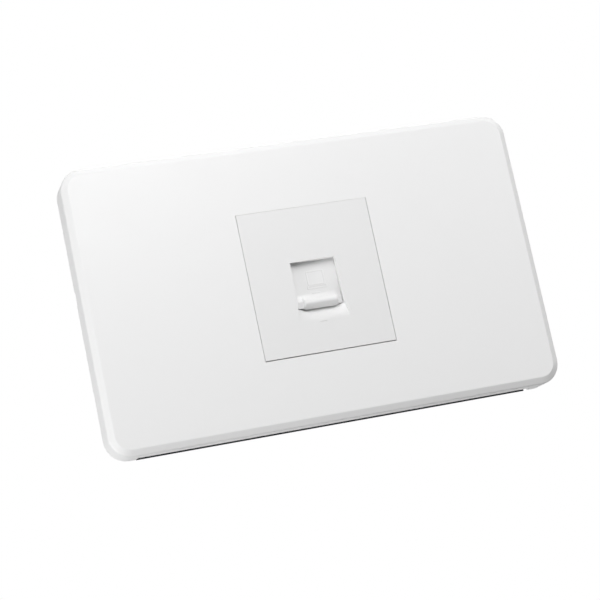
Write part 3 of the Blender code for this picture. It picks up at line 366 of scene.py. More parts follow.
# The shutter is the same polycarbonate as the face, painted a shade lighter to offset the shade
# that it gets deep in the port.
shutter_pc_painted_lighter = surface(
    "polycarbonate_painted_lighter", ("#EDEDED", "#EBEBEB"), 10 * MM, (0.37, 0.43),
    eroded_grain(0.40 * MM), 0.0025 * MM, ior=1.585,
)
# Unpainted PBT polyester is a warm natural white and matt, because it shrinks as it sets.
# The block's is pigmented and a little whiter. The carrier's is black, with a faint grey bloom.
jack_pbt = surface(
    "natural_pbt_polyester", ("#DDDCD4", "#D3D1C8"), 5 * MM, (0.48, 0.56),
    eroded_grain(0.30 * MM), 0.006 * MM, ior=1.57,
)
block_pbt = surface(
    "white_pbt_polyester", ("#E6E5DF", "#DCDBD4"), 6 * MM, (0.44, 0.52),
    eroded_grain(0.30 * MM), 0.006 * MM, ior=1.57,
)
carrier_pbt = surface(
    "black_pbt_polyester", ("#1B1B1D", "#29292B"), 3 * MM, (0.46, 0.56),
    eroded_grain(0.25 * MM), 0.008 * MM, ior=1.57,
)
# Glass-filled polyamide is matt, with grey streaks where fibres reach the skin. Its near-black is
# partly painted shade: it darkens the strip under the cover's lower edge, where a shadow line
# falls.
frame_nylon_painted_shade = surface(
    "polyamide_painted_shade_black", ("#1D1E20", "#35373A"), 2.2 * MM, (0.48, 0.62),
    fibre_pits, 0.012 * MM, ior=1.53, detail=5.0, stretch=(0.25, 1.0, 1.0),
)
# Spring steel drawn through a die is bright, with fine lines along the wire's turns.
spring_wire = surface(
    "drawn_spring_steel", ("#A9AAAC", "#CFCFCE"), 0.12 * MM, (0.22, 0.34),
    eroded_grain(0.08 * MM), 0.002 * MM, metallic=1.0, detail=3.0, stretch=(0.15, 0.15, 1.0),
)
# Gold over nickel on phosphor bronze is warm and bright, with hardly any mottle.
gold = surface(
    "gold_plated_phosphor_bronze", ("#E2B04C", "#F0C565"), 1.2 * MM, (0.17, 0.27),
    eroded_grain(0.15 * MM), 0.0015 * MM, metallic=1.0, detail=4.0,
)
# Matt tin dulls in soft blotches.
tin = surface(
    "tinned_phosphor_bronze", ("#B9B7B1", "#D2D0CB"), 0.8 * MM, (0.32, 0.44),
    eroded_grain(0.15 * MM), 0.003 * MM, metallic=1.0, detail=4.0,
)
# Tin solder sets with a bright, slightly crinkled skin.
solder = surface(
    "tin_solder", ("#C3C4C3", "#DADBDA"), 0.5 * MM, (0.24, 0.36),
    eroded_grain(0.20 * MM), 0.006 * MM, metallic=1.0, detail=4.0,
)
# Clear-passivated zinc is a cool grey with pale yellow and blue clouds.
zinc = surface(
    "clear_passivated_zinc", ("#BDC3CA", "#CFCCBD"), 2.5 * MM, (0.28, 0.40),
    eroded_grain(0.20 * MM), 0.004 * MM, metallic=1.0, detail=4.0,
)
# Solder resist over glass cloth is a glossy green film in which the weave shows as a relief.
resist = surface(
    "solder_resist", ("#17593A", "#237A4C"), 3 * MM, (0.26, 0.36),
    glass_cloth, 0.015 * MM, ior=1.56,
)
# The board's sawn edge is straw-coloured epoxy with the plies of cloth in fine lines.
cut_board = surface(
    "sawn_glass_epoxy", ("#A89C63", "#CDC394"), 0.3 * MM, (0.55, 0.75),
    eroded_grain(0.15 * MM), 0.02 * MM, ior=1.55, detail=3.0, stretch=(0.1, 1.0, 0.1),
)


# Shares and meshes

def blend(low, high, share):
    """Point between two, at a share of the way."""
    return tuple(a + (b - a) * share for a, b in zip(low, high))


def eased(value, start, end):
    """Share from 0 at the start to 1 at the end, with soft turns."""
    share = min(max((value - start) / (end - start), 0.0), 1.0)
    return share * share * (3 - 2 * share)


def tapered(reach, full, none, steps):
    """Places across a form, the same on both sides, with the share that it has there."""
    ends = [(reach, 0.0)]
    for step in range(steps + 1):
        x = none + (full - none) * step / steps
        ends.append((x, eased(x, none, full)))
    return [(-x, share) for x, share in ends] + ends[::-1]


def add_piece(name, mesh):
    """Piece in the scene, at the origin and unturned."""
    piece = bpy.data.objects.new(name, mesh)
    bpy.context.scene.collection.objects.link(piece)
    return piece


def kept(skin, name):
    """Mesh of a skin as it is."""
    mesh = bpy.data.meshes.new(name)
    skin.to_mesh(mesh)
    skin.free()
    return mesh


def mesh_from(skin, name="piece"):
    """Mesh of a finished skin, whose faces are turned outwards."""
    bmesh.ops.recalc_face_normals(skin, faces=skin.faces)
    return kept(skin, name)


def rounded_outline(width, height, radius, steps, centre=(0.0, 0.0)):
    """Points of a rectangle with rounded corners, as x and z."""
    points = []
    for corner, (side_x, side_z) in enumerate(((1, 1), (-1, 1), (-1, -1), (1, -1))):
        for step in range(steps + 1):
            angle = math.pi / 2 * (corner + step / steps)
            points.append((
                centre[0] + side_x * (width / 2 - radius) + radius * math.cos(angle),
                centre[1] + side_z * (height / 2 - radius) + radius * math.sin(angle),
            ))
    return points


def round_outline(radius, steps=5, centre=(0.0, 0.0)):
    """Points of a circle, from corners that take nearly all of a square's sides."""
    return rounded_outline(2 * radius, 2 * radius, NEARLY_ROUND * radius, steps, centre)


def loft(sections, along="Y", hollow=False):
    """Skin through outlines at levels along an axis, capped at its ends or closed on itself."""
    place = {
        "X": lambda a, b, level: (level, a, b),
        "Y": lambda a, b, level: (a, level, b),
    }[along]
    skin = bmesh.new()
    rings = [
        [skin.verts.new(place(a, b, level)) for a, b in outline] for outline, level in sections
    ]
    pairs = list(zip(rings, rings[1:]))
    if hollow:
        pairs.append((rings[-1], rings[0]))
    else:
        skin.faces.new(rings[0])
        skin.faces.new(rings[-1])
    count = len(rings[0])
    for near, far in pairs:
        for step in range(count):
            after = (step + 1) % count
            skin.faces.new((near[step], near[after], far[after], far[step]))
    return mesh_from(skin)


def block(x_range, y_range, z_range):
    """Box between the ends of three ranges, to be joined or cut."""
    x0, x1 = sorted(x_range)
    z0, z1 = sorted(z_range)
    outline = [(x0, z0), (x1, z0), (x1, z1), (x0, z1)]
    return loft([(outline, min(y_range)), (outline, max(y_range))])


def evaluated_mesh(piece):
    """Mesh of a piece after its modifiers."""
    graph = bpy.context.evaluated_depsgraph_get()
    return bpy.data.meshes.new_from_object(piece.evaluated_get(graph))


def combine(mesh, operation, tools):
    """Mesh after tools are joined to it (UNION) or cut out of it (DIFFERENCE)."""
    piece = add_piece("worked", mesh)
    for tool_mesh in tools:
        tool = add_piece("tool", tool_mesh)
        modifier = piece.modifiers.new(operation, "BOOLEAN")
        modifier.operation = operation
        modifier.solver = "EXACT"
        modifier.object = tool
        piece.data = evaluated_mesh(piece)
        piece.modifiers.clear()
        bpy.data.objects.remove(tool)
    result = piece.data
    bpy.data.objects.remove(piece)
    return result


def together(meshes):
    """One mesh from several that stay apart."""
    skin = bmesh.new()
    for mesh in meshes:
        skin.from_mesh(mesh)
    return kept(skin, "together")


def merged(pieces):
    """One mesh from several pieces, which are used up."""
    mesh = together([piece.data for piece in pieces])
    for piece in pieces:
        bpy.data.objects.remove(piece)
    return mesh


def middle(node):
    """Middle of a CAD node's box."""
    low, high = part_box(node)
    return (low + high) / 2


def welded_copy(node):
    """Mesh of a CAD node as one skin with whole flat faces."""
    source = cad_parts[node].data
    skin = bmesh.new()
    corners = [skin.verts.new(vertex.co) for vertex in source.vertices]
    for triangle in source.polygons:
        skin.faces.new([corners[i] for i in triangle.vertices])
    bmesh.ops.remove_doubles(skin, verts=skin.verts, dist=MERGE)
    bmesh.ops.dissolve_limit(
        skin, angle_limit=math.radians(FLAT_ANGLE), verts=skin.verts, edges=skin.edges
    )
    return mesh_from(skin, node)


def softened(name, mesh, width, steps=2):
    """Piece with small rounds on its edges and even shading on its flats."""
    piece = add_piece(name, mesh)
    edge = piece.modifiers.new("edge", "BEVEL")
    edge.width = width
    edge.segments = steps
    edge.limit_method = "ANGLE"
    edge.angle_limit = math.radians(ROUND_ANGLE)
    edge.use_clamp_overlap = True
    rounded = evaluated_mesh(piece)
    piece.modifiers.clear()
    skin = bmesh.new()
    skin.from_mesh(rounded)
    bmesh.ops.dissolve_degenerate(skin, dist=MERGE, edges=skin.edges)
    skin.to_mesh(rounded)
    skin.free()
    piece.data = rounded
    piece.data.shade_smooth()
    piece.data.set_sharp_from_angle(angle=math.radians(SHARP_ANGLE))
    shading = piece.modifiers.new("shading", "WEIGHTED_NORMAL")
    shading.keep_sharp = True
    piece.data = evaluated_mesh(piece)
    piece.modifiers.clear()
    piece.data.name = name
    return piece


def dressed(piece, material, body, slot, *nodes):
    """Gives a finished piece its material, its body and the CAD nodes that it stands for."""
    if material:
        piece.data.materials.clear()
        piece.data.materials.append(material)
    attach(piece, body)
    if nodes:
        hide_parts(*nodes)


# Trees that grow what repeats

def new_tree(name, inputs):
    """Empty geometry tree with named inputs, and the geometry among them first."""
    tree = bpy.data.node_groups.new(name, "GeometryNodeTree")
    tree.interface.new_socket("Geometry", in_out="OUTPUT", socket_type="NodeSocketGeometry")
    tree.interface.new_socket("Geometry", in_out="INPUT", socket_type="NodeSocketGeometry")
    for label, kind in inputs.items():
        tree.interface.new_socket(label, in_out="INPUT", socket_type="NodeSocket" + kind)
    sizes = add_node(tree, "NodeGroupInput").outputs
    return tree, sizes


def close_tree(tree, shape, sizes):
    """Ends a tree in plain, smooth geometry with its material."""
    real = add_node(tree, "GeometryNodeRealizeInstances", {0: shape})
    smooth = add_node(tree, "GeometryNodeSetShadeSmooth", {0: real.outputs[0]})
    coated = add_node(tree, "GeometryNodeSetMaterial", {
        "Geometry": smooth.outputs[0], "Material": sizes["Material"],
    })
    add_node(tree, "NodeGroupOutput", {0: coated.outputs[0]})


def coil_tree():
    """Compression spring: a helix whose end turns lie closed, swept with round wire."""
    tree, sizes = new_tree("coil_spring", {
        "Radius": "Float", "Wire Radius": "Float", "Turns": "Float", "End Turns": "Float",
        "Height": "Float", "Foot": "Vector", "Material": "Material",
    })
    known = {socket.name: socket for socket in sizes}
    known["share"] = add_node(tree, "GeometryNodeSplineParameter").outputs["Factor"]
    for result, operation, first, second in (
        ("turn", "MULTIPLY", "share", "Turns"),
        ("closed pitch", "MULTIPLY", "Wire Radius", SPRING_CLOSED_PITCH),
        ("closed rise", "MULTIPLY", "closed pitch", "End Turns"),
        ("last open turn", "SUBTRACT", "Turns", "End Turns"),
        ("open top", "SUBTRACT", "Height", "closed rise"),
        ("turns below", "SUBTRACT", "End Turns", "turn"),
        ("turns below", "MAXIMUM", "turns below", 0.0),
        ("turns above", "SUBTRACT", "turn", "last open turn"),
        ("turns above", "MAXIMUM", "turns above", 0.0),
        ("closed turns", "SUBTRACT", "turns above", "turns below"),
        ("closed level", "MULTIPLY", "closed turns", "closed pitch"),
        ("angle", "MULTIPLY", "turn", 2 * math.pi),
        ("cosine", "COSINE", "angle", 0.0),
        ("sine", "SINE", "angle", 0.0),
        ("across", "MULTIPLY", "cosine", "Radius"),
        ("deep", "MULTIPLY", "sine", "Radius"),
    ):
        known[result] = add_node(
            tree, "ShaderNodeMath", {0: known.get(first, first), 1: known.get(second, second)},
            operation=operation,
        ).outputs[0]
    open_level = add_node(tree, "ShaderNodeMapRange", {
        "Value": known["turn"], "From Min": known["End Turns"],
        "From Max": known["last open turn"], "To Min": known["closed rise"],
        "To Max": known["open top"],
    })
    level = add_node(tree, "ShaderNodeMath", {
        0: open_level.outputs["Result"], 1: known["closed level"],
    })
    point = add_node(tree, "ShaderNodeCombineXYZ", {
        0: known["across"], 1: known["deep"], 2: level.outputs[0],
    })
    line = add_node(tree, "GeometryNodeCurvePrimitiveLine", {"End": (0.0, 0.0, 1.0)})
    dense = add_node(
        tree, "GeometryNodeResampleCurve", {"Curve": line.outputs[0], "Count": SPRING_POINTS}
    )
    helix = add_node(tree, "GeometryNodeSetPosition", {
        "Geometry": dense.outputs[0], "Position": point.outputs[0], "Offset": sizes["Foot"],
    })
    wire = add_node(tree, "GeometryNodeCurvePrimitiveCircle", {
        "Resolution": SPRING_WIRE_SIDES, "Radius": sizes["Wire Radius"],
    })
    swept = add_node(tree, "GeometryNodeCurveToMesh", {
        "Curve": helix.outputs[0], "Profile Curve": wire.outputs[0], "Fill Caps": True,
    })
    close_tree(tree, swept.outputs[0], sizes)
    return tree


def wire_row_tree():
    """Bent wires side by side: a path with filleted corners, swept and repeated across."""
    tree, sizes = new_tree("wires_in_a_row", {
        "Wire Radius": "Float", "Corner Radius": "Float", "Count": "Int", "Spacing": "Float",
        "First": "Float", "Material": "Material",
    })
    path = add_node(tree, "GeometryNodeMeshToCurve", {"Mesh": sizes["Geometry"]})
    filleted = add_node(tree, "GeometryNodeFilletCurve", {
        "Curve": path.outputs[0], "Radius": sizes["Corner Radius"], "Count": 5,
        "Limit Radius": True,
    }, mode="POLY")
    profile = add_node(tree, "GeometryNodeCurvePrimitiveCircle", {
        "Resolution": CONTACT_SIDES, "Radius": sizes["Wire Radius"],
    })
    wire = add_node(tree, "GeometryNodeCurveToMesh", {
        "Curve": filleted.outputs[0], "Profile Curve": profile.outputs[0], "Fill Caps": True,
    })
    step = add_node(tree, "ShaderNodeCombineXYZ", {0: sizes["Spacing"]})
    start = add_node(tree, "ShaderNodeCombineXYZ", {0: sizes["First"]})
    places = add_node(tree, "GeometryNodeMeshLine", {
        "Count": sizes["Count"], "Start Location": start.outputs[0], "Offset": step.outputs[0],
    })
    row = add_node(tree, "GeometryNodeInstanceOnPoints", {
        "Points": places.outputs[0], "Instance": wire.outputs[0],
    })
    close_tree(tree, row.outputs[0], sizes)
    return tree


def copies_tree():
    """Copies of a small piece in columns along X and rows along Z, each turned a little about Y."""
    tree, sizes = new_tree("copies_in_rows", {
        "Columns": "Int", "Rows": "Int", "Column Spacing": "Float", "Row Spacing": "Float",
        "First": "Vector", "Turn": "Float", "Seed": "Int", "Material": "Material",
    })
    across = add_node(tree, "ShaderNodeCombineXYZ", {0: sizes["Column Spacing"]})
    up = add_node(tree, "ShaderNodeCombineXYZ", {2: sizes["Row Spacing"]})
    column = add_node(tree, "GeometryNodeMeshLine", {
        "Count": sizes["Rows"], "Start Location": sizes["First"], "Offset": up.outputs[0],
    })
    feet = add_node(tree, "GeometryNodeMeshLine", {
        "Count": sizes["Columns"], "Offset": across.outputs[0],
    })
    grid = add_node(tree, "GeometryNodeInstanceOnPoints", {
        "Points": feet.outputs[0], "Instance": column.outputs[0],
    })
    places = add_node(tree, "GeometryNodeRealizeInstances", {0: grid.outputs[0]})
    turn = add_node(
        tree, "FunctionNodeRandomValue", {3: sizes["Turn"], "Seed": sizes["Seed"]},
        data_type="FLOAT",
    )
    about = add_node(tree, "ShaderNodeCombineXYZ", {1: turn.outputs[1]})
    copies = add_node(tree, "GeometryNodeInstanceOnPoints", {
        "Points": places.outputs[0], "Instance": sizes["Geometry"], "Rotation": about.outputs[0],
    })
    close_tree(tree, copies.outputs[0], sizes)
    return tree


def grown(name, tree, mesh, sizes):
    """Plain piece that a tree grows from a mesh and its sizes."""
    piece = add_piece(name, mesh)
    modifier = piece.modifiers.new(name, "NODES")
    modifier.node_group = tree
    for item in tree.interface.items_tree:
        if item.in_out == "INPUT" and item.name in sizes:
            modifier[item.identifier] = sizes[item.name]
    result = evaluated_mesh(piece)
    piece.modifiers.clear()
    piece.data = result
    result.name = name
    return piece


def copied(name, tree, mesh, grid, spacing, first, seed, material, turn=0.0):
    """Piece of copies in columns and rows, from a mesh that stands at the origin."""
    return grown(name, tree, mesh, {
        "Columns": grid[0], "Rows": grid[1], "Column Spacing": spacing[0],
        "Row Spacing": spacing[1], "First": first, "Turn": turn, "Seed": seed,
        "Material": material,
    })


def path_mesh(points):
    """Bare line through points, as a base for a tree."""
    mesh = bpy.data.meshes.new("path")
    mesh.from_pydata(points, [(i, i + 1) for i in range(len(points) - 1)], [])
    return mesh


# Cover plate

def cover_hook(side_x, side_z, back_y):
    """Post with a barb that catches behind the frame's plate."""
    inner = HOOK_Z - HOOK_THICKNESS / 2
    outer = HOOK_Z + HOOK_THICKNESS / 2
    tip = HOOK_CATCH_Y + HOOK_TIP
    profile = [
        (back_y - WELD, inner), (back_y - WELD, outer), (HOOK_CATCH_Y, outer),
        (HOOK_CATCH_Y, outer + HOOK_BARB), (tip, outer), (tip, inner),
    ]
    outline = [(y, side_z * z) for y, z in profile]
    centre = side_x * HOOK_X
    return loft(
        [(outline, centre - HOOK_WIDTH / 2), (outline, centre + HOOK_WIDTH / 2)], along="X"
    )


def eased_corner(before, corner, after, radius, steps=6):
    """Points of a soft round at the corner of a path."""
    points = []
    reach_in = min(radius / math.dist(before, corner), 0.5)
    reach_out = min(radius / math.dist(after, corner), 0.5)
    start = [c + (b - c) * reach_in for b, c in zip(before, corner)]
    end = [c + (a - c) * reach_out for a, c in zip(after, corner)]
    for step in range(steps + 1):
        t = step / steps
        points.append(tuple(
            (1 - t) ** 2 * s + 2 * t * (1 - t) * c + t ** 2 * e
            for s, c, e in zip(start, corner, end)
        ))
    return points


def make_cover():
    """Snap-on plate: a bevelled shell with a window, a collar, ribs, hooks and pry notches."""
    low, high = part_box("cover_plate")
    width = high.x - low.x
    height = high.z - low.z
    face_y = low.y
    back_y = face_y + COVER_WALL
    rim = (0.0, RIM_Y)
    shoulder = (0.0, face_y + CHAMFER_DEPTH)
    crest = (CHAMFER_INSET, face_y)
    side = (
        [rim]
        + eased_corner(rim, shoulder, crest, SHOULDER_ROUNDING)
        + eased_corner(shoulder, crest, (height / 2, face_y), CREST_ROUNDING)
    )
    mesh = loft([
        (rounded_outline(width - 2 * inset, height - 2 * inset, PLATE_CORNER_RADIUS - inset,
                         CORNER_STEPS), level)
        for inset, level in side
    ])
    hollow_width = width - 2 * COVER_WALL
    hollow_height = height - 2 * COVER_WALL
    hollow_outline = rounded_outline(
        hollow_width, hollow_height, PLATE_CORNER_RADIUS - COVER_WALL, CORNER_STEPS
    )
    mesh = combine(mesh, "DIFFERENCE", [loft([(hollow_outline, back_y), (hollow_outline, MM)])])

    rib_levels = (back_y - WELD, back_y + COVER_RIB_HEIGHT)
    collar_x = MODULE_HALF_WIDTH + COLLAR_WALL
    collar_z = MODULE_HALF_HEIGHT + COLLAR_WALL
    added = [block((-collar_x, collar_x), rib_levels, (-collar_z, collar_z))]
    for side_x in (-1, 1):
        rib_x = side_x * (MODULE_HALF_WIDTH + COVER_RIB_OFFSET)
        rib_z = hollow_height / 2 + WELD
        added.append(block(
            (rib_x - COVER_RIB_WIDTH / 2, rib_x + COVER_RIB_WIDTH / 2), rib_levels, (-rib_z, rib_z)
        ))
        for side_z in (-1, 1):
            added.append(cover_hook(side_x, side_z, back_y))
    mesh = combine(mesh, "UNION", added)

    window_z = (-MODULE_HALF_HEIGHT - BOTTOM_GAP, MODULE_HALF_HEIGHT + TOP_GAP)
    window = block(
        (-MODULE_HALF_WIDTH - SIDE_GAPS[0], MODULE_HALF_WIDTH + SIDE_GAPS[1]),
        (face_y - MM, 0.0), window_z,
    )
    sill_reach = SILL_HALF_LENGTH + SILL_GAP
    sill_recess = block(
        (-sill_reach, sill_reach), (SILL_FRONT_Y - SILL_GAP, 0.0),
        (low.z - MM, low.z + COVER_WALL + WELD),
    )
    cuts = [window, sill_recess]
    for side_x in (-1, 1):
        edge = side_x * high.x
        centre = -side_x * PRY_NOTCH_Z
        cuts.append(block(
            (edge - side_x * PRY_NOTCH_DEPTH, edge + side_x * MM),
            (RIM_Y - PRY_NOTCH_HEIGHT, 0.0),
            (centre - PRY_NOTCH_WIDTH / 2, centre + PRY_NOTCH_WIDTH / 2),
        ))
    mesh = combine(mesh, "DIFFERENCE", cuts)
    cover = softened("cover_shell", mesh, THIN_EDGE)
    dressed(cover, cover_abs, "socket", "white_plastic", "cover_plate")


# Mounting frame

def make_frame():
    """Tray with the rebated sill that closes the cover's lower edge, and ejector marks. Its
    near-black is partly painted shade along that edge.
    """
    low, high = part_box("mounting_frame")
    roof = low.z + SILL_REBATE_DEPTH
    top = low.z + SILL_DEPTH
    rebate = block(
        (-SILL_HALF_LENGTH, SILL_HALF_LENGTH), (SILL_FRONT_Y, SILL_REBATE_Y), (low.z - MM, roof)
    )
    outline = [
        (SILL_FRONT_Y, top), (SILL_FRONT_Y, roof), (SILL_REBATE_Y, roof),
        (SILL_REBATE_Y, low.z), (high.y, low.z), (high.y, top),
    ]
    sill = loft([(outline, -SILL_HALF_LENGTH), (outline, SILL_HALF_LENGTH)], along="X")
    mesh = combine(welded_copy("mounting_frame"), "DIFFERENCE", [rebate])
    mesh = combine(mesh, "UNION", [sill])
    pins = []
    for x, z in EJECTOR_PINS:
        for side_z, side_x in ((1, -1), (1, 1), (-1, -1), (-1, 1)):
            outline = round_outline(EJECTOR_RADIUS, EJECTOR_STEPS, (side_x * x, side_z * z))
            pins.append(loft([
                (outline, FRAME_BACK_Y - EJECTOR_DEPTH), (outline, FRAME_BACK_Y + 0.5 * MM),
            ]))
    mesh = combine(mesh, "DIFFERENCE", [together(pins)])
    tray = softened("mounting_tray", mesh, FRAME_EDGE)
    # Its near-black is partly painted shade: the shadow line under the cover's lower edge.
    dressed(tray, frame_nylon_painted_shade, "socket", "dark_frame_plastic", "mounting_frame")


# Socket module

def scoop_section(share, face_y):
    """Side view of the scoop's floor: of its shallow sides, of its deep middle, or between."""
    edge = blend(SCOOP_SIDE_TOP, SCOOP_MIDDLE_TOP, share)
    back_y = SCOOP_MIDDLE_TOP[0] + WELD
    return [
        edge, (face_y, SCOOP_FOOT), (face_y + WELD, SCOOP_FOOT - WELD),
        (back_y, SCOOP_MIDDLE_TOP[1] - 2 * WELD), (back_y, edge[1]),
    ]


def make_bezel():
    """Module face with its port, the scoop's shallow sides, and a gate mark under the scoop."""
    mesh = welded_copy("module_bezel")
    face_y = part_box("module_bezel")[0].y
    stations = tapered(SCOOP_HALF_WIDTH, *SCOOP_MIDDLE, SCOOP_STEPS)
    sides = loft([(scoop_section(share, face_y), x) for x, share in stations], along="X")
    mesh = combine(mesh, "UNION", [sides])
    gate = block(GATE_MARK_X, (face_y - MM, face_y + GATE_MARK_DEPTH), GATE_MARK_Z)
    mesh = combine(mesh, "DIFFERENCE", [gate])
    bezel = softened("module_face", mesh, THIN_EDGE)
    # No round stands proud of the face, not by a thousandth.
    for vertex in bezel.data.vertices:
        vertex.co.y = max(vertex.co.y, face_y)
    dressed(bezel, module_pc, "socket", "module_white_plastic", "module_bezel")


def lip_section(share):
    """Side view of the shutter's lower part: of the plain plinth, of the finger lip, or between."""
    start, end = (math.radians(angle) for angle in LIP_NOSE_ANGLES)
    centre_y = LIP_NOSE_Y + LIP_NOSE_RADIUS
    nose = []
    for step in range(LIP_STEPS + 1):
        angle = start + (end - start) * step / LIP_STEPS
        nose.append((
            centre_y - LIP_NOSE_RADIUS * math.cos(angle),
            LIP_NOSE_Z + LIP_NOSE_RADIUS * math.sin(angle),
        ))
    brow = (nose[-1][0] - LIP_BROW * math.sin(end), nose[-1][1] - LIP_BROW * math.cos(end))
    crest_y, crest_z = nose[0]
    points = []
    for step in range(LIP_STEPS):
        rise = step / LIP_STEPS
        level = LIP_RAMP_TOP + (crest_z - LIP_RAMP_TOP) * rise
        points.append(tuple(
            PANEL_FRONT_Y + (y - PANEL_FRONT_Y) * rise ** LIP_RAMP_POWER
            for y in (PLINTH_Y, crest_y)
        ) + (level,))
    section = [(low + (high - low) * share, level) for low, high, level in points]
    for step, point in enumerate([*nose, brow]):
        plain = (PLINTH_Y, crest_z + (PANEL_FOOT - crest_z) * step / (LIP_STEPS + 1))
        section.append(blend(plain, point, share))
    root_y = PANEL_FRONT_Y + WELD
    foot = blend((PANEL_FRONT_Y, PANEL_FOOT), (PANEL_FRONT_Y, TOE_FOOT), share)
    heel = blend((root_y, PANEL_FOOT), (root_y, PANEL_FOOT + (TOE_FOOT - PANEL_FOOT) / 2), share)
    return [(root_y, LIP_RAMP_TOP), *section, foot, heel]


def make_shutter():
    """Sliding dust shutter with its plinth, its finger lip and two ears that the springs push."""
    panel = block(
        (-PANEL_HALF_WIDTH, PANEL_HALF_WIDTH), (PANEL_FRONT_Y, PANEL_BACK_Y),
        (PANEL_FOOT, PANEL_TOP),
    )
    stations = tapered(PLINTH_HALF_WIDTH, *LIP_TAPER, LIP_STEPS)
    lip = loft([
        (lip_section(share), x + (LIP_CENTRE_X if abs(x) < PLINTH_HALF_WIDTH else 0.0))
        for x, share in stations
    ], along="X")
    ears = []
    for side in (-1, 1):
        inner = side * (PANEL_HALF_WIDTH - WELD)
        outer = side * EAR_HALF_WIDTH
        ears.append(block((inner, outer), (EAR_FRONT_Y, PANEL_BACK_Y), (PANEL_FOOT, EAR_TOP)))
        ears.append(block(
            (side * EAR_INNER_X, outer), (PANEL_BACK_Y - WELD, EAR_BACK_Y), (PANEL_FOOT, EAR_TOP)
        ))
    mesh = combine(panel, "UNION", [lip, *ears])
    shutter = softened("dust_shutter_panel", mesh, SHUTTER_EDGE)
    # Its polycarbonate is painted a shade lighter than the face's, to offset the shade in the port.
    dressed(shutter, shutter_pc_painted_lighter, "dust_shutter", "module_white_plastic", "shutter")


def raised_line(half_width, z_range, corner):
    """Outline frame of a moulded sign, standing a hair off the shutter."""
    width = 2 * half_width
    height = z_range[1] - z_range[0]
    centre = (MARK_CENTRE_X, sum(z_range) / 2)
    outer = rounded_outline(width, height, corner, SIGN_STEPS, centre)
    inner = rounded_outline(
        width - 2 * MARK_LINE, height - 2 * MARK_LINE, max(corner - MARK_LINE, 0.05 * MM),
        SIGN_STEPS, centre,
    )
    back = PANEL_FRONT_Y + WELD
    front = PANEL_FRONT_Y - MARK_HEIGHT
    return loft([(outer, back), (outer, front), (inner, front), (inner, back)], hollow=True)


def make_mark():
    """Faint raised sign of a desktop computer: a screen, the case under it and a key row."""
    screen = raised_line(*SIGN_SCREEN)
    case = raised_line(*SIGN_CASE)
    bar = rounded_outline(*SIGN_KEYS, SIGN_KEYS_CORNER, SIGN_STEPS, SIGN_KEYS_CENTRE)
    keys = loft([(bar, PANEL_FRONT_Y + WELD), (bar, PANEL_FRONT_Y - MARK_HEIGHT)])
    mark = softened("computer_sign", together([screen, case, keys]), SIGN_EDGE)
    dressed(mark, shutter_pc_painted_lighter, "dust_shutter", "module_white_plastic")


def make_springs(tree):
    """Closed-end springs, each grown to fill its CAD box; the real ones are squeezed against the
    top of the skirt as the shutter opens.
    """
    for hand in ("left", "right"):
        node = f"shutter_spring_{hand}"
        low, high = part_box(node)
        centre = middle(node)
        foot = low.z + SPRING_WIRE_RADIUS
        top = high.z - SPRING_WIRE_RADIUS
        spring = grown(f"return_spring_{hand}", tree, bpy.data.meshes.new("seed"), {
            "Radius": SPRING_RADIUS, "Wire Radius": SPRING_WIRE_RADIUS, "Turns": SPRING_TURNS,
            "End Turns": SPRING_END_TURNS, "Height": top - foot,
            "Foot": (centre.x, centre.y, foot), "Material": spring_wire,
        })
        dressed(spring, None, "socket", "spring_steel", node)
        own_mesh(spring)


# Jack, contacts and wire block

def contact_path(tail_z):
    """Centre line of a contact: from the board round the front and back into the cavity."""
    points = [(0.0, BOARD_BACK_Y, tail_z)]
    if tail_z > WIRE_Z:
        points += [(0.0, CONTACT_TAIL_BEND[0], tail_z), (0.0, CONTACT_TAIL_BEND[1], WIRE_Z)]
    for step in range(BEND_STEPS + 1):
        angle = math.pi * step / BEND_STEPS
        points.append((
            0.0, CONTACT_BEND_Y - CONTACT_FRONT_BEND * math.sin(angle),
            WIRE_Z - CONTACT_FRONT_BEND + CONTACT_FRONT_BEND * math.cos(angle),
        ))
    points += [(0.0, *CONTACT_TIP[0]), (0.0, *CONTACT_TIP[1])]
    return path_mesh(points)


def make_contacts(tree):
    """Eight gold-plated wires, odd ones with low tails and even ones with high tails."""
    rows = []
    for first, tail_z in CONTACT_ROWS:
        rows.append(grown("contacts", tree, contact_path(tail_z), {
            "Wire Radius": CONTACT_RADIUS, "Corner Radius": CONTACT_FILLET, "Count": WAYS // 2,
            "Spacing": 2 * CONTACT_PITCH, "First": first * CONTACT_PITCH, "Material": gold,
        }))
    mesh = merged(rows)
    mesh.shade_smooth()
    mesh.set_sharp_from_angle(angle=math.radians(WIRE_SHARP_ANGLE))
    contacts = add_piece("contact_wires", mesh)
    names = [f"contact_{number}" for number in range(1, WAYS + 1)]
    dressed(contacts, gold, "socket", "gold_plated_bronze", *names)


def make_board():
    """Board with green resist on its faces and the sawn cloth on its edges."""
    board = softened("contact_board", welded_copy("circuit_board"), BOARD_EDGE, 1)
    dressed(board, resist, "socket", "circuit_board_green", "circuit_board")
    board.data.materials.append(cut_board)
    for face in board.data.polygons:
        face.material_index = 0 if abs(face.normal.y) > 0.7 else 1


def eyelet(outline_of, flange, bore):
    """Plated hole with a pad on each face of the board."""
    front = BOARD_FRONT_Y - TIN_THICKNESS
    back = BOARD_BACK_Y + TIN_THICKNESS
    return loft([
        (outline_of(flange), front + TIN_THICKNESS),
        (outline_of(flange - SOLDER_FRONT_INSET), front),
        (outline_of(bore), front - SOLDER_FRONT_RISE),
        (outline_of(bore), back + SOLDER_BACK_RISE),
        (outline_of(flange - SOLDER_BACK_INSET), back),
        (outline_of(flange), back - TIN_THICKNESS),
        (outline_of(bore + SOLDER_WALL), back - TIN_THICKNESS),
        (outline_of(bore + SOLDER_WALL), front + TIN_THICKNESS),
    ], hollow=True)


def slot_outline(radius):
    """Points of the upright slot that a blade's tail goes through, or of its pad."""
    return rounded_outline(2 * radius, 2 * radius + SLOT_LENGTH, SLOT_CORNER, 5)


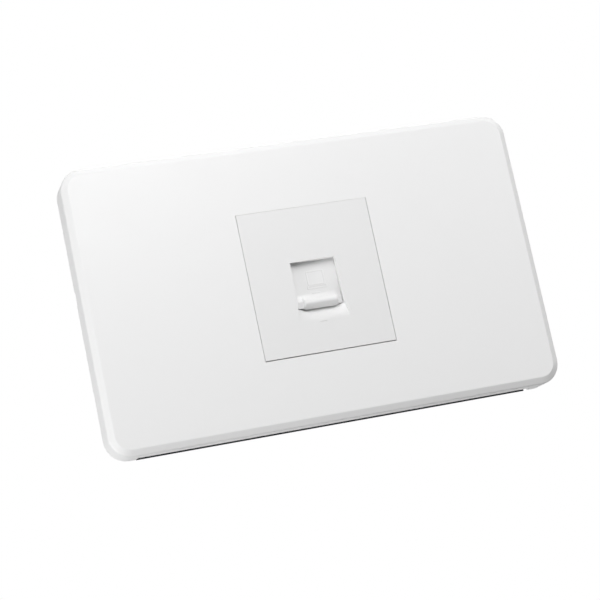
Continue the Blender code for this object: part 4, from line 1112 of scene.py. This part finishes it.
def make_joints(tree):
    """Soldered pads round the contacts' tails and the blades' tails."""
    round_joint = eyelet(round_outline, ROUND_PAD, ROUND_BORE)
    slot_joint = eyelet(slot_outline, SLOT_PAD, SLOT_BORE)
    blade = middle("idc_blade_8")
    parts = [
        copied("joints", tree, round_joint, (WAYS // 2, 1), (2 * CONTACT_PITCH, 0.0),
               (first * CONTACT_PITCH, 0.0, tail_z), 1, solder)
        for first, tail_z in CONTACT_ROWS
    ]
    parts.append(copied(
        "joints", tree, slot_joint, (2, WAYS // 2), (2 * blade.x, BLADE_PITCH),
        (-blade.x, 0.0, blade.z), 1, solder,
    ))
    joints = softened("solder_joints", merged(parts), JOINT_EDGE, 1)
    dressed(joints, solder, "socket", "tinned_bronze")


def make_blades(tree):
    """Eight forked blades in two columns of four."""
    centre = middle("idc_blade_8")
    mesh = welded_copy("idc_blade_8")
    mesh.transform(Matrix.Translation((-centre.x, 0.0, -centre.z)))
    single = softened("blade", mesh, THIN_EDGE)
    blades = copied(
        "wire_blades", tree, single.data, (2, WAYS // 2), (2 * centre.x, BLADE_PITCH),
        (-centre.x, 0.0, centre.z), 2, tin,
    )
    bpy.data.objects.remove(single)
    names = [f"idc_blade_{number}" for number in range(1, WAYS + 1)]
    dressed(blades, tin, "socket", "tinned_bronze", *names)


# Wall screws

def ring(radius, level):
    """Points of a level ring round the Y axis, the first of them given again at the end."""
    angles = [2 * math.pi * step / ROUND_STEPS for step in range(ROUND_STEPS + 1)]
    return [(radius * math.cos(a), level, radius * math.sin(a)) for a in angles]


def thread_rings(start, end):
    """Rows of points that climb along the shank as they go round: each ridge is a helix."""
    rings = []
    parts = len(THREAD_RIDGE)
    rows = math.ceil((end - start) / THREAD_PITCH * parts)
    for row in range(-parts, rows + 1):
        points = []
        for step in range(ROUND_STEPS + 1):
            turn = step / ROUND_STEPS
            level = start + (row / parts + turn) * THREAD_PITCH
            level = min(max(level, start), end)
            fade = min(1.0, (level - start) / THREAD_PITCH, (end - level) / THREAD_PITCH)
            crest = fade * THREAD_RIDGE[row % parts]
            radius = SCREW_SHANK_RADIUS - THREAD_DEPTH * (1 - crest)
            angle = 2 * math.pi * turn
            points.append((radius * math.cos(angle), level, radius * math.sin(angle)))
        rings.append(points)
    return rings


def cross_outline(reach, half_width):
    """Outline of a cross recess."""
    quarter = [(reach, -half_width), (reach, half_width), (half_width, half_width)]
    points = []
    for turn in range(4):
        for x, z in quarter:
            for _ in range(turn):
                x, z = -z, x
            points.append((x, z))
    return points


def screw_mesh():
    """Pan-head machine screw with a cross recess, on the Y axis."""
    low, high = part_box("mounting_screw_right")
    head_radius = (high.z - low.z) / 2
    crown = SCREW_CROWN * head_radius
    core = SCREW_SHANK_RADIUS - THREAD_DEPTH
    rings = [ring(0.5 * crown, low.y)]
    for step in range(DOME_STEPS + 1):
        angle = math.pi / 2 * step / DOME_STEPS
        rings.append(ring(
            crown + (head_radius - crown) * math.sin(angle),
            low.y + SCREW_HEAD_DOME * (1 - math.cos(angle)),
        ))
    rings += [
        ring(head_radius, SCREW_SEAT_Y - SCREW_HEAD_EDGE[0]),
        ring(head_radius - SCREW_HEAD_EDGE[1], SCREW_SEAT_Y),
        ring(SCREW_SHANK_RADIUS, SCREW_SEAT_Y), ring(core, SCREW_SEAT_Y + SCREW_UNDERCUT),
    ]
    rings += thread_rings(SCREW_SEAT_Y + THREAD_START, high.y - SCREW_POINT)
    rings += [ring(0.55 * core, high.y - 0.2 * MM), ring(0.35 * core, high.y)]
    skin = bmesh.new()
    rows = [[skin.verts.new(point) for point in points] for points in rings]
    skin.faces.new(rows[0])
    skin.faces.new(rows[-1])
    for near, far in zip(rows, rows[1:]):
        for step in range(ROUND_STEPS):
            skin.faces.new((near[step], near[step + 1], far[step + 1], far[step]))
    bmesh.ops.remove_doubles(skin, verts=skin.verts, dist=MERGE)
    recess = loft([
        (cross_outline(reach, half_width), low.y + depth)
        for reach, half_width, depth in SCREW_RECESS
    ])
    return combine(mesh_from(skin), "DIFFERENCE", [recess])


def make_screws(tree):
    """Two wall screws, whose cross recesses stand as they happened to be tightened."""
    x = middle("mounting_screw_right").x
    screws = copied(
        "wall_screws", tree, screw_mesh(), (2, 1), (2 * x, 0.0), (-x, 0.0, 0.0), 7, zinc,
        turn=SCREW_TURN,
    )
    screws.data.set_sharp_from_angle(angle=math.radians(THREAD_SHARP_ANGLE))
    dressed(
        screws, zinc, "socket", "zinc_plated_steel", "mounting_screw_left", "mounting_screw_right"
    )


# Floor, light and camera

def seen_rays(tree):
    """One for what the camera sees, directly, mirrored or through glass, and none for lighting."""
    rays = add_node(tree, "ShaderNodeLightPath").outputs
    mirrored = add_node(
        tree, "ShaderNodeMath", {0: rays["Is Camera Ray"], 1: rays["Is Glossy Ray"]},
        operation="ADD",
    )
    return add_node(
        tree, "ShaderNodeMath", {0: mirrored.outputs[0], 1: rays["Is Transmission Ray"]},
        operation="ADD", use_clamp=True,
    ).outputs[0]


def make_floor():
    """Pale round floor that fades to white outwards, far below the socket."""
    skin = bmesh.new()
    bmesh.ops.create_circle(skin, cap_ends=True, segments=96, radius=FLOOR_RADIUS)
    floor_mesh = kept(skin, "floor")
    floor_mesh.transform(Matrix.Translation((0.0, 0.0, FLOOR_Z)))
    floor = add_piece("studio_floor", floor_mesh)
    # Matt emulsion paint: an even pale grey with the faint clouds that a roller leaves.
    material = bpy.data.materials.new("painted_floor")
    material.use_nodes = True
    tree = material.node_tree
    shader = tree.nodes["Principled BSDF"]
    shader.inputs["Roughness"].default_value = 0.8
    place = add_node(tree, "ShaderNodeTexCoord").outputs["Object"]
    seen = seen_rays(tree)
    paint = add_node(tree, "ShaderNodeTexNoise", {"Vector": place, "Scale": 6.0, "Detail": 2.0})
    pale = add_node(
        tree, "ShaderNodeMix",
        {0: paint.outputs["Fac"], 6: linear(FLOOR_PAINT[0]), 7: linear(FLOOR_PAINT[1])},
        data_type="RGBA",
    )
    colour = add_node(
        tree, "ShaderNodeMix", {0: seen, 6: linear(FLOOR_BOUNCE), 7: pale.outputs[2]},
        data_type="RGBA",
    )
    tree.links.new(colour.outputs[2], shader.inputs["Base Color"])
    level = add_node(tree, "ShaderNodeMapping", {"Vector": place, "Scale": (1.0, 1.0, 0.0)})
    distance = add_node(
        tree, "ShaderNodeVectorMath", {0: level.outputs["Vector"]}, operation="LENGTH"
    )
    rim = add_node(tree, "ShaderNodeMapRange", {
        "Value": distance.outputs["Value"], "From Min": FLOOR_FADE[0],
        "From Max": FLOOR_FADE[1], "To Min": FLOOR_WHITE,
    }, interpolation_type="SMOOTHSTEP")
    share = add_node(
        tree, "ShaderNodeMath", {0: rim.outputs["Result"], 1: seen}, operation="MULTIPLY"
    )
    white = add_node(tree, "ShaderNodeEmission")
    mix = add_node(tree, "ShaderNodeMixShader", {
        0: share.outputs["Value"], 1: shader.outputs["BSDF"], 2: white.outputs["Emission"],
    })
    tree.links.new(mix.outputs["Shader"], tree.nodes["Material Output"].inputs["Surface"])
    floor.data.materials.append(material)


def light_studio():
    """White surroundings where they are seen, a dim sky, and soft lamps round the front."""
    world = bpy.data.worlds.new("studio")
    bpy.context.scene.world = world
    world.use_nodes = True
    tree = world.node_tree
    sky = tree.nodes["Background"]
    sky.inputs["Color"].default_value = linear("#FFFFFF")
    sky.inputs["Strength"].default_value = SKY_LEVEL
    backdrop = add_node(tree, "ShaderNodeBackground", {"Color": linear("#FFFFFF"), "Strength": 1.0})
    mix = add_node(tree, "ShaderNodeMixShader", {
        0: seen_rays(tree), 1: sky.outputs[0], 2: backdrop.outputs[0],
    })
    tree.links.new(mix.outputs[0], tree.nodes["World Output"].inputs["Surface"])
    for name, place, size, power in LAMPS:
        lamp = bpy.data.lights.new(name, "AREA")
        lamp.shape = "SQUARE"
        lamp.size = size
        lamp.energy = power
        item = bpy.data.objects.new(name, lamp)
        item.location = place
        item.rotation_euler = (-Vector(place)).to_track_quat("-Z", "Y").to_euler()
        item.visible_camera = False
        bpy.context.scene.collection.objects.link(item)


def set_camera():
    """Camera at the photograph's angle, from the lower left."""
    lens = bpy.data.cameras.new("camera")
    lens.sensor_width = CAMERA_SENSOR
    lens.lens = CAMERA_LENS
    lens.clip_start, lens.clip_end = CAMERA_CLIP
    camera = bpy.data.objects.new("camera", lens)
    camera.location = CAMERA_PLACE
    camera.rotation_euler = CAMERA_TURN
    bpy.context.scene.collection.objects.link(camera)
    bpy.context.scene.camera = camera


# The whole scene

make_cover()
make_frame()
make_bezel()
make_shutter()
make_mark()
make_springs(coil_tree())
for node, name, finish, slot, width in (
    ("jack_retainer", "retainer_plate", module_pc, "module_white_plastic", SHELL_EDGE),
    ("jack_housing", "jack_shell", jack_pbt, "jack_plastic", SHELL_EDGE),
    ("contact_carrier", "contact_comb", carrier_pbt, "carrier_plastic", COMB_EDGE),
    ("idc_block", "punch_down_block", block_pbt, "wire_block_plastic", BLOCK_EDGE),
):
    dressed(softened(name, welded_copy(node), width), finish, "socket", slot, node)
make_contacts(wire_row_tree())
make_board()
rows_tree = copies_tree()
make_joints(rows_tree)
make_blades(rows_tree)
make_screws(rows_tree)

bpy.context.scene.view_settings.view_transform = "Standard"
make_floor()
light_studio()
set_camera()

bpy.context.view_layer.update()
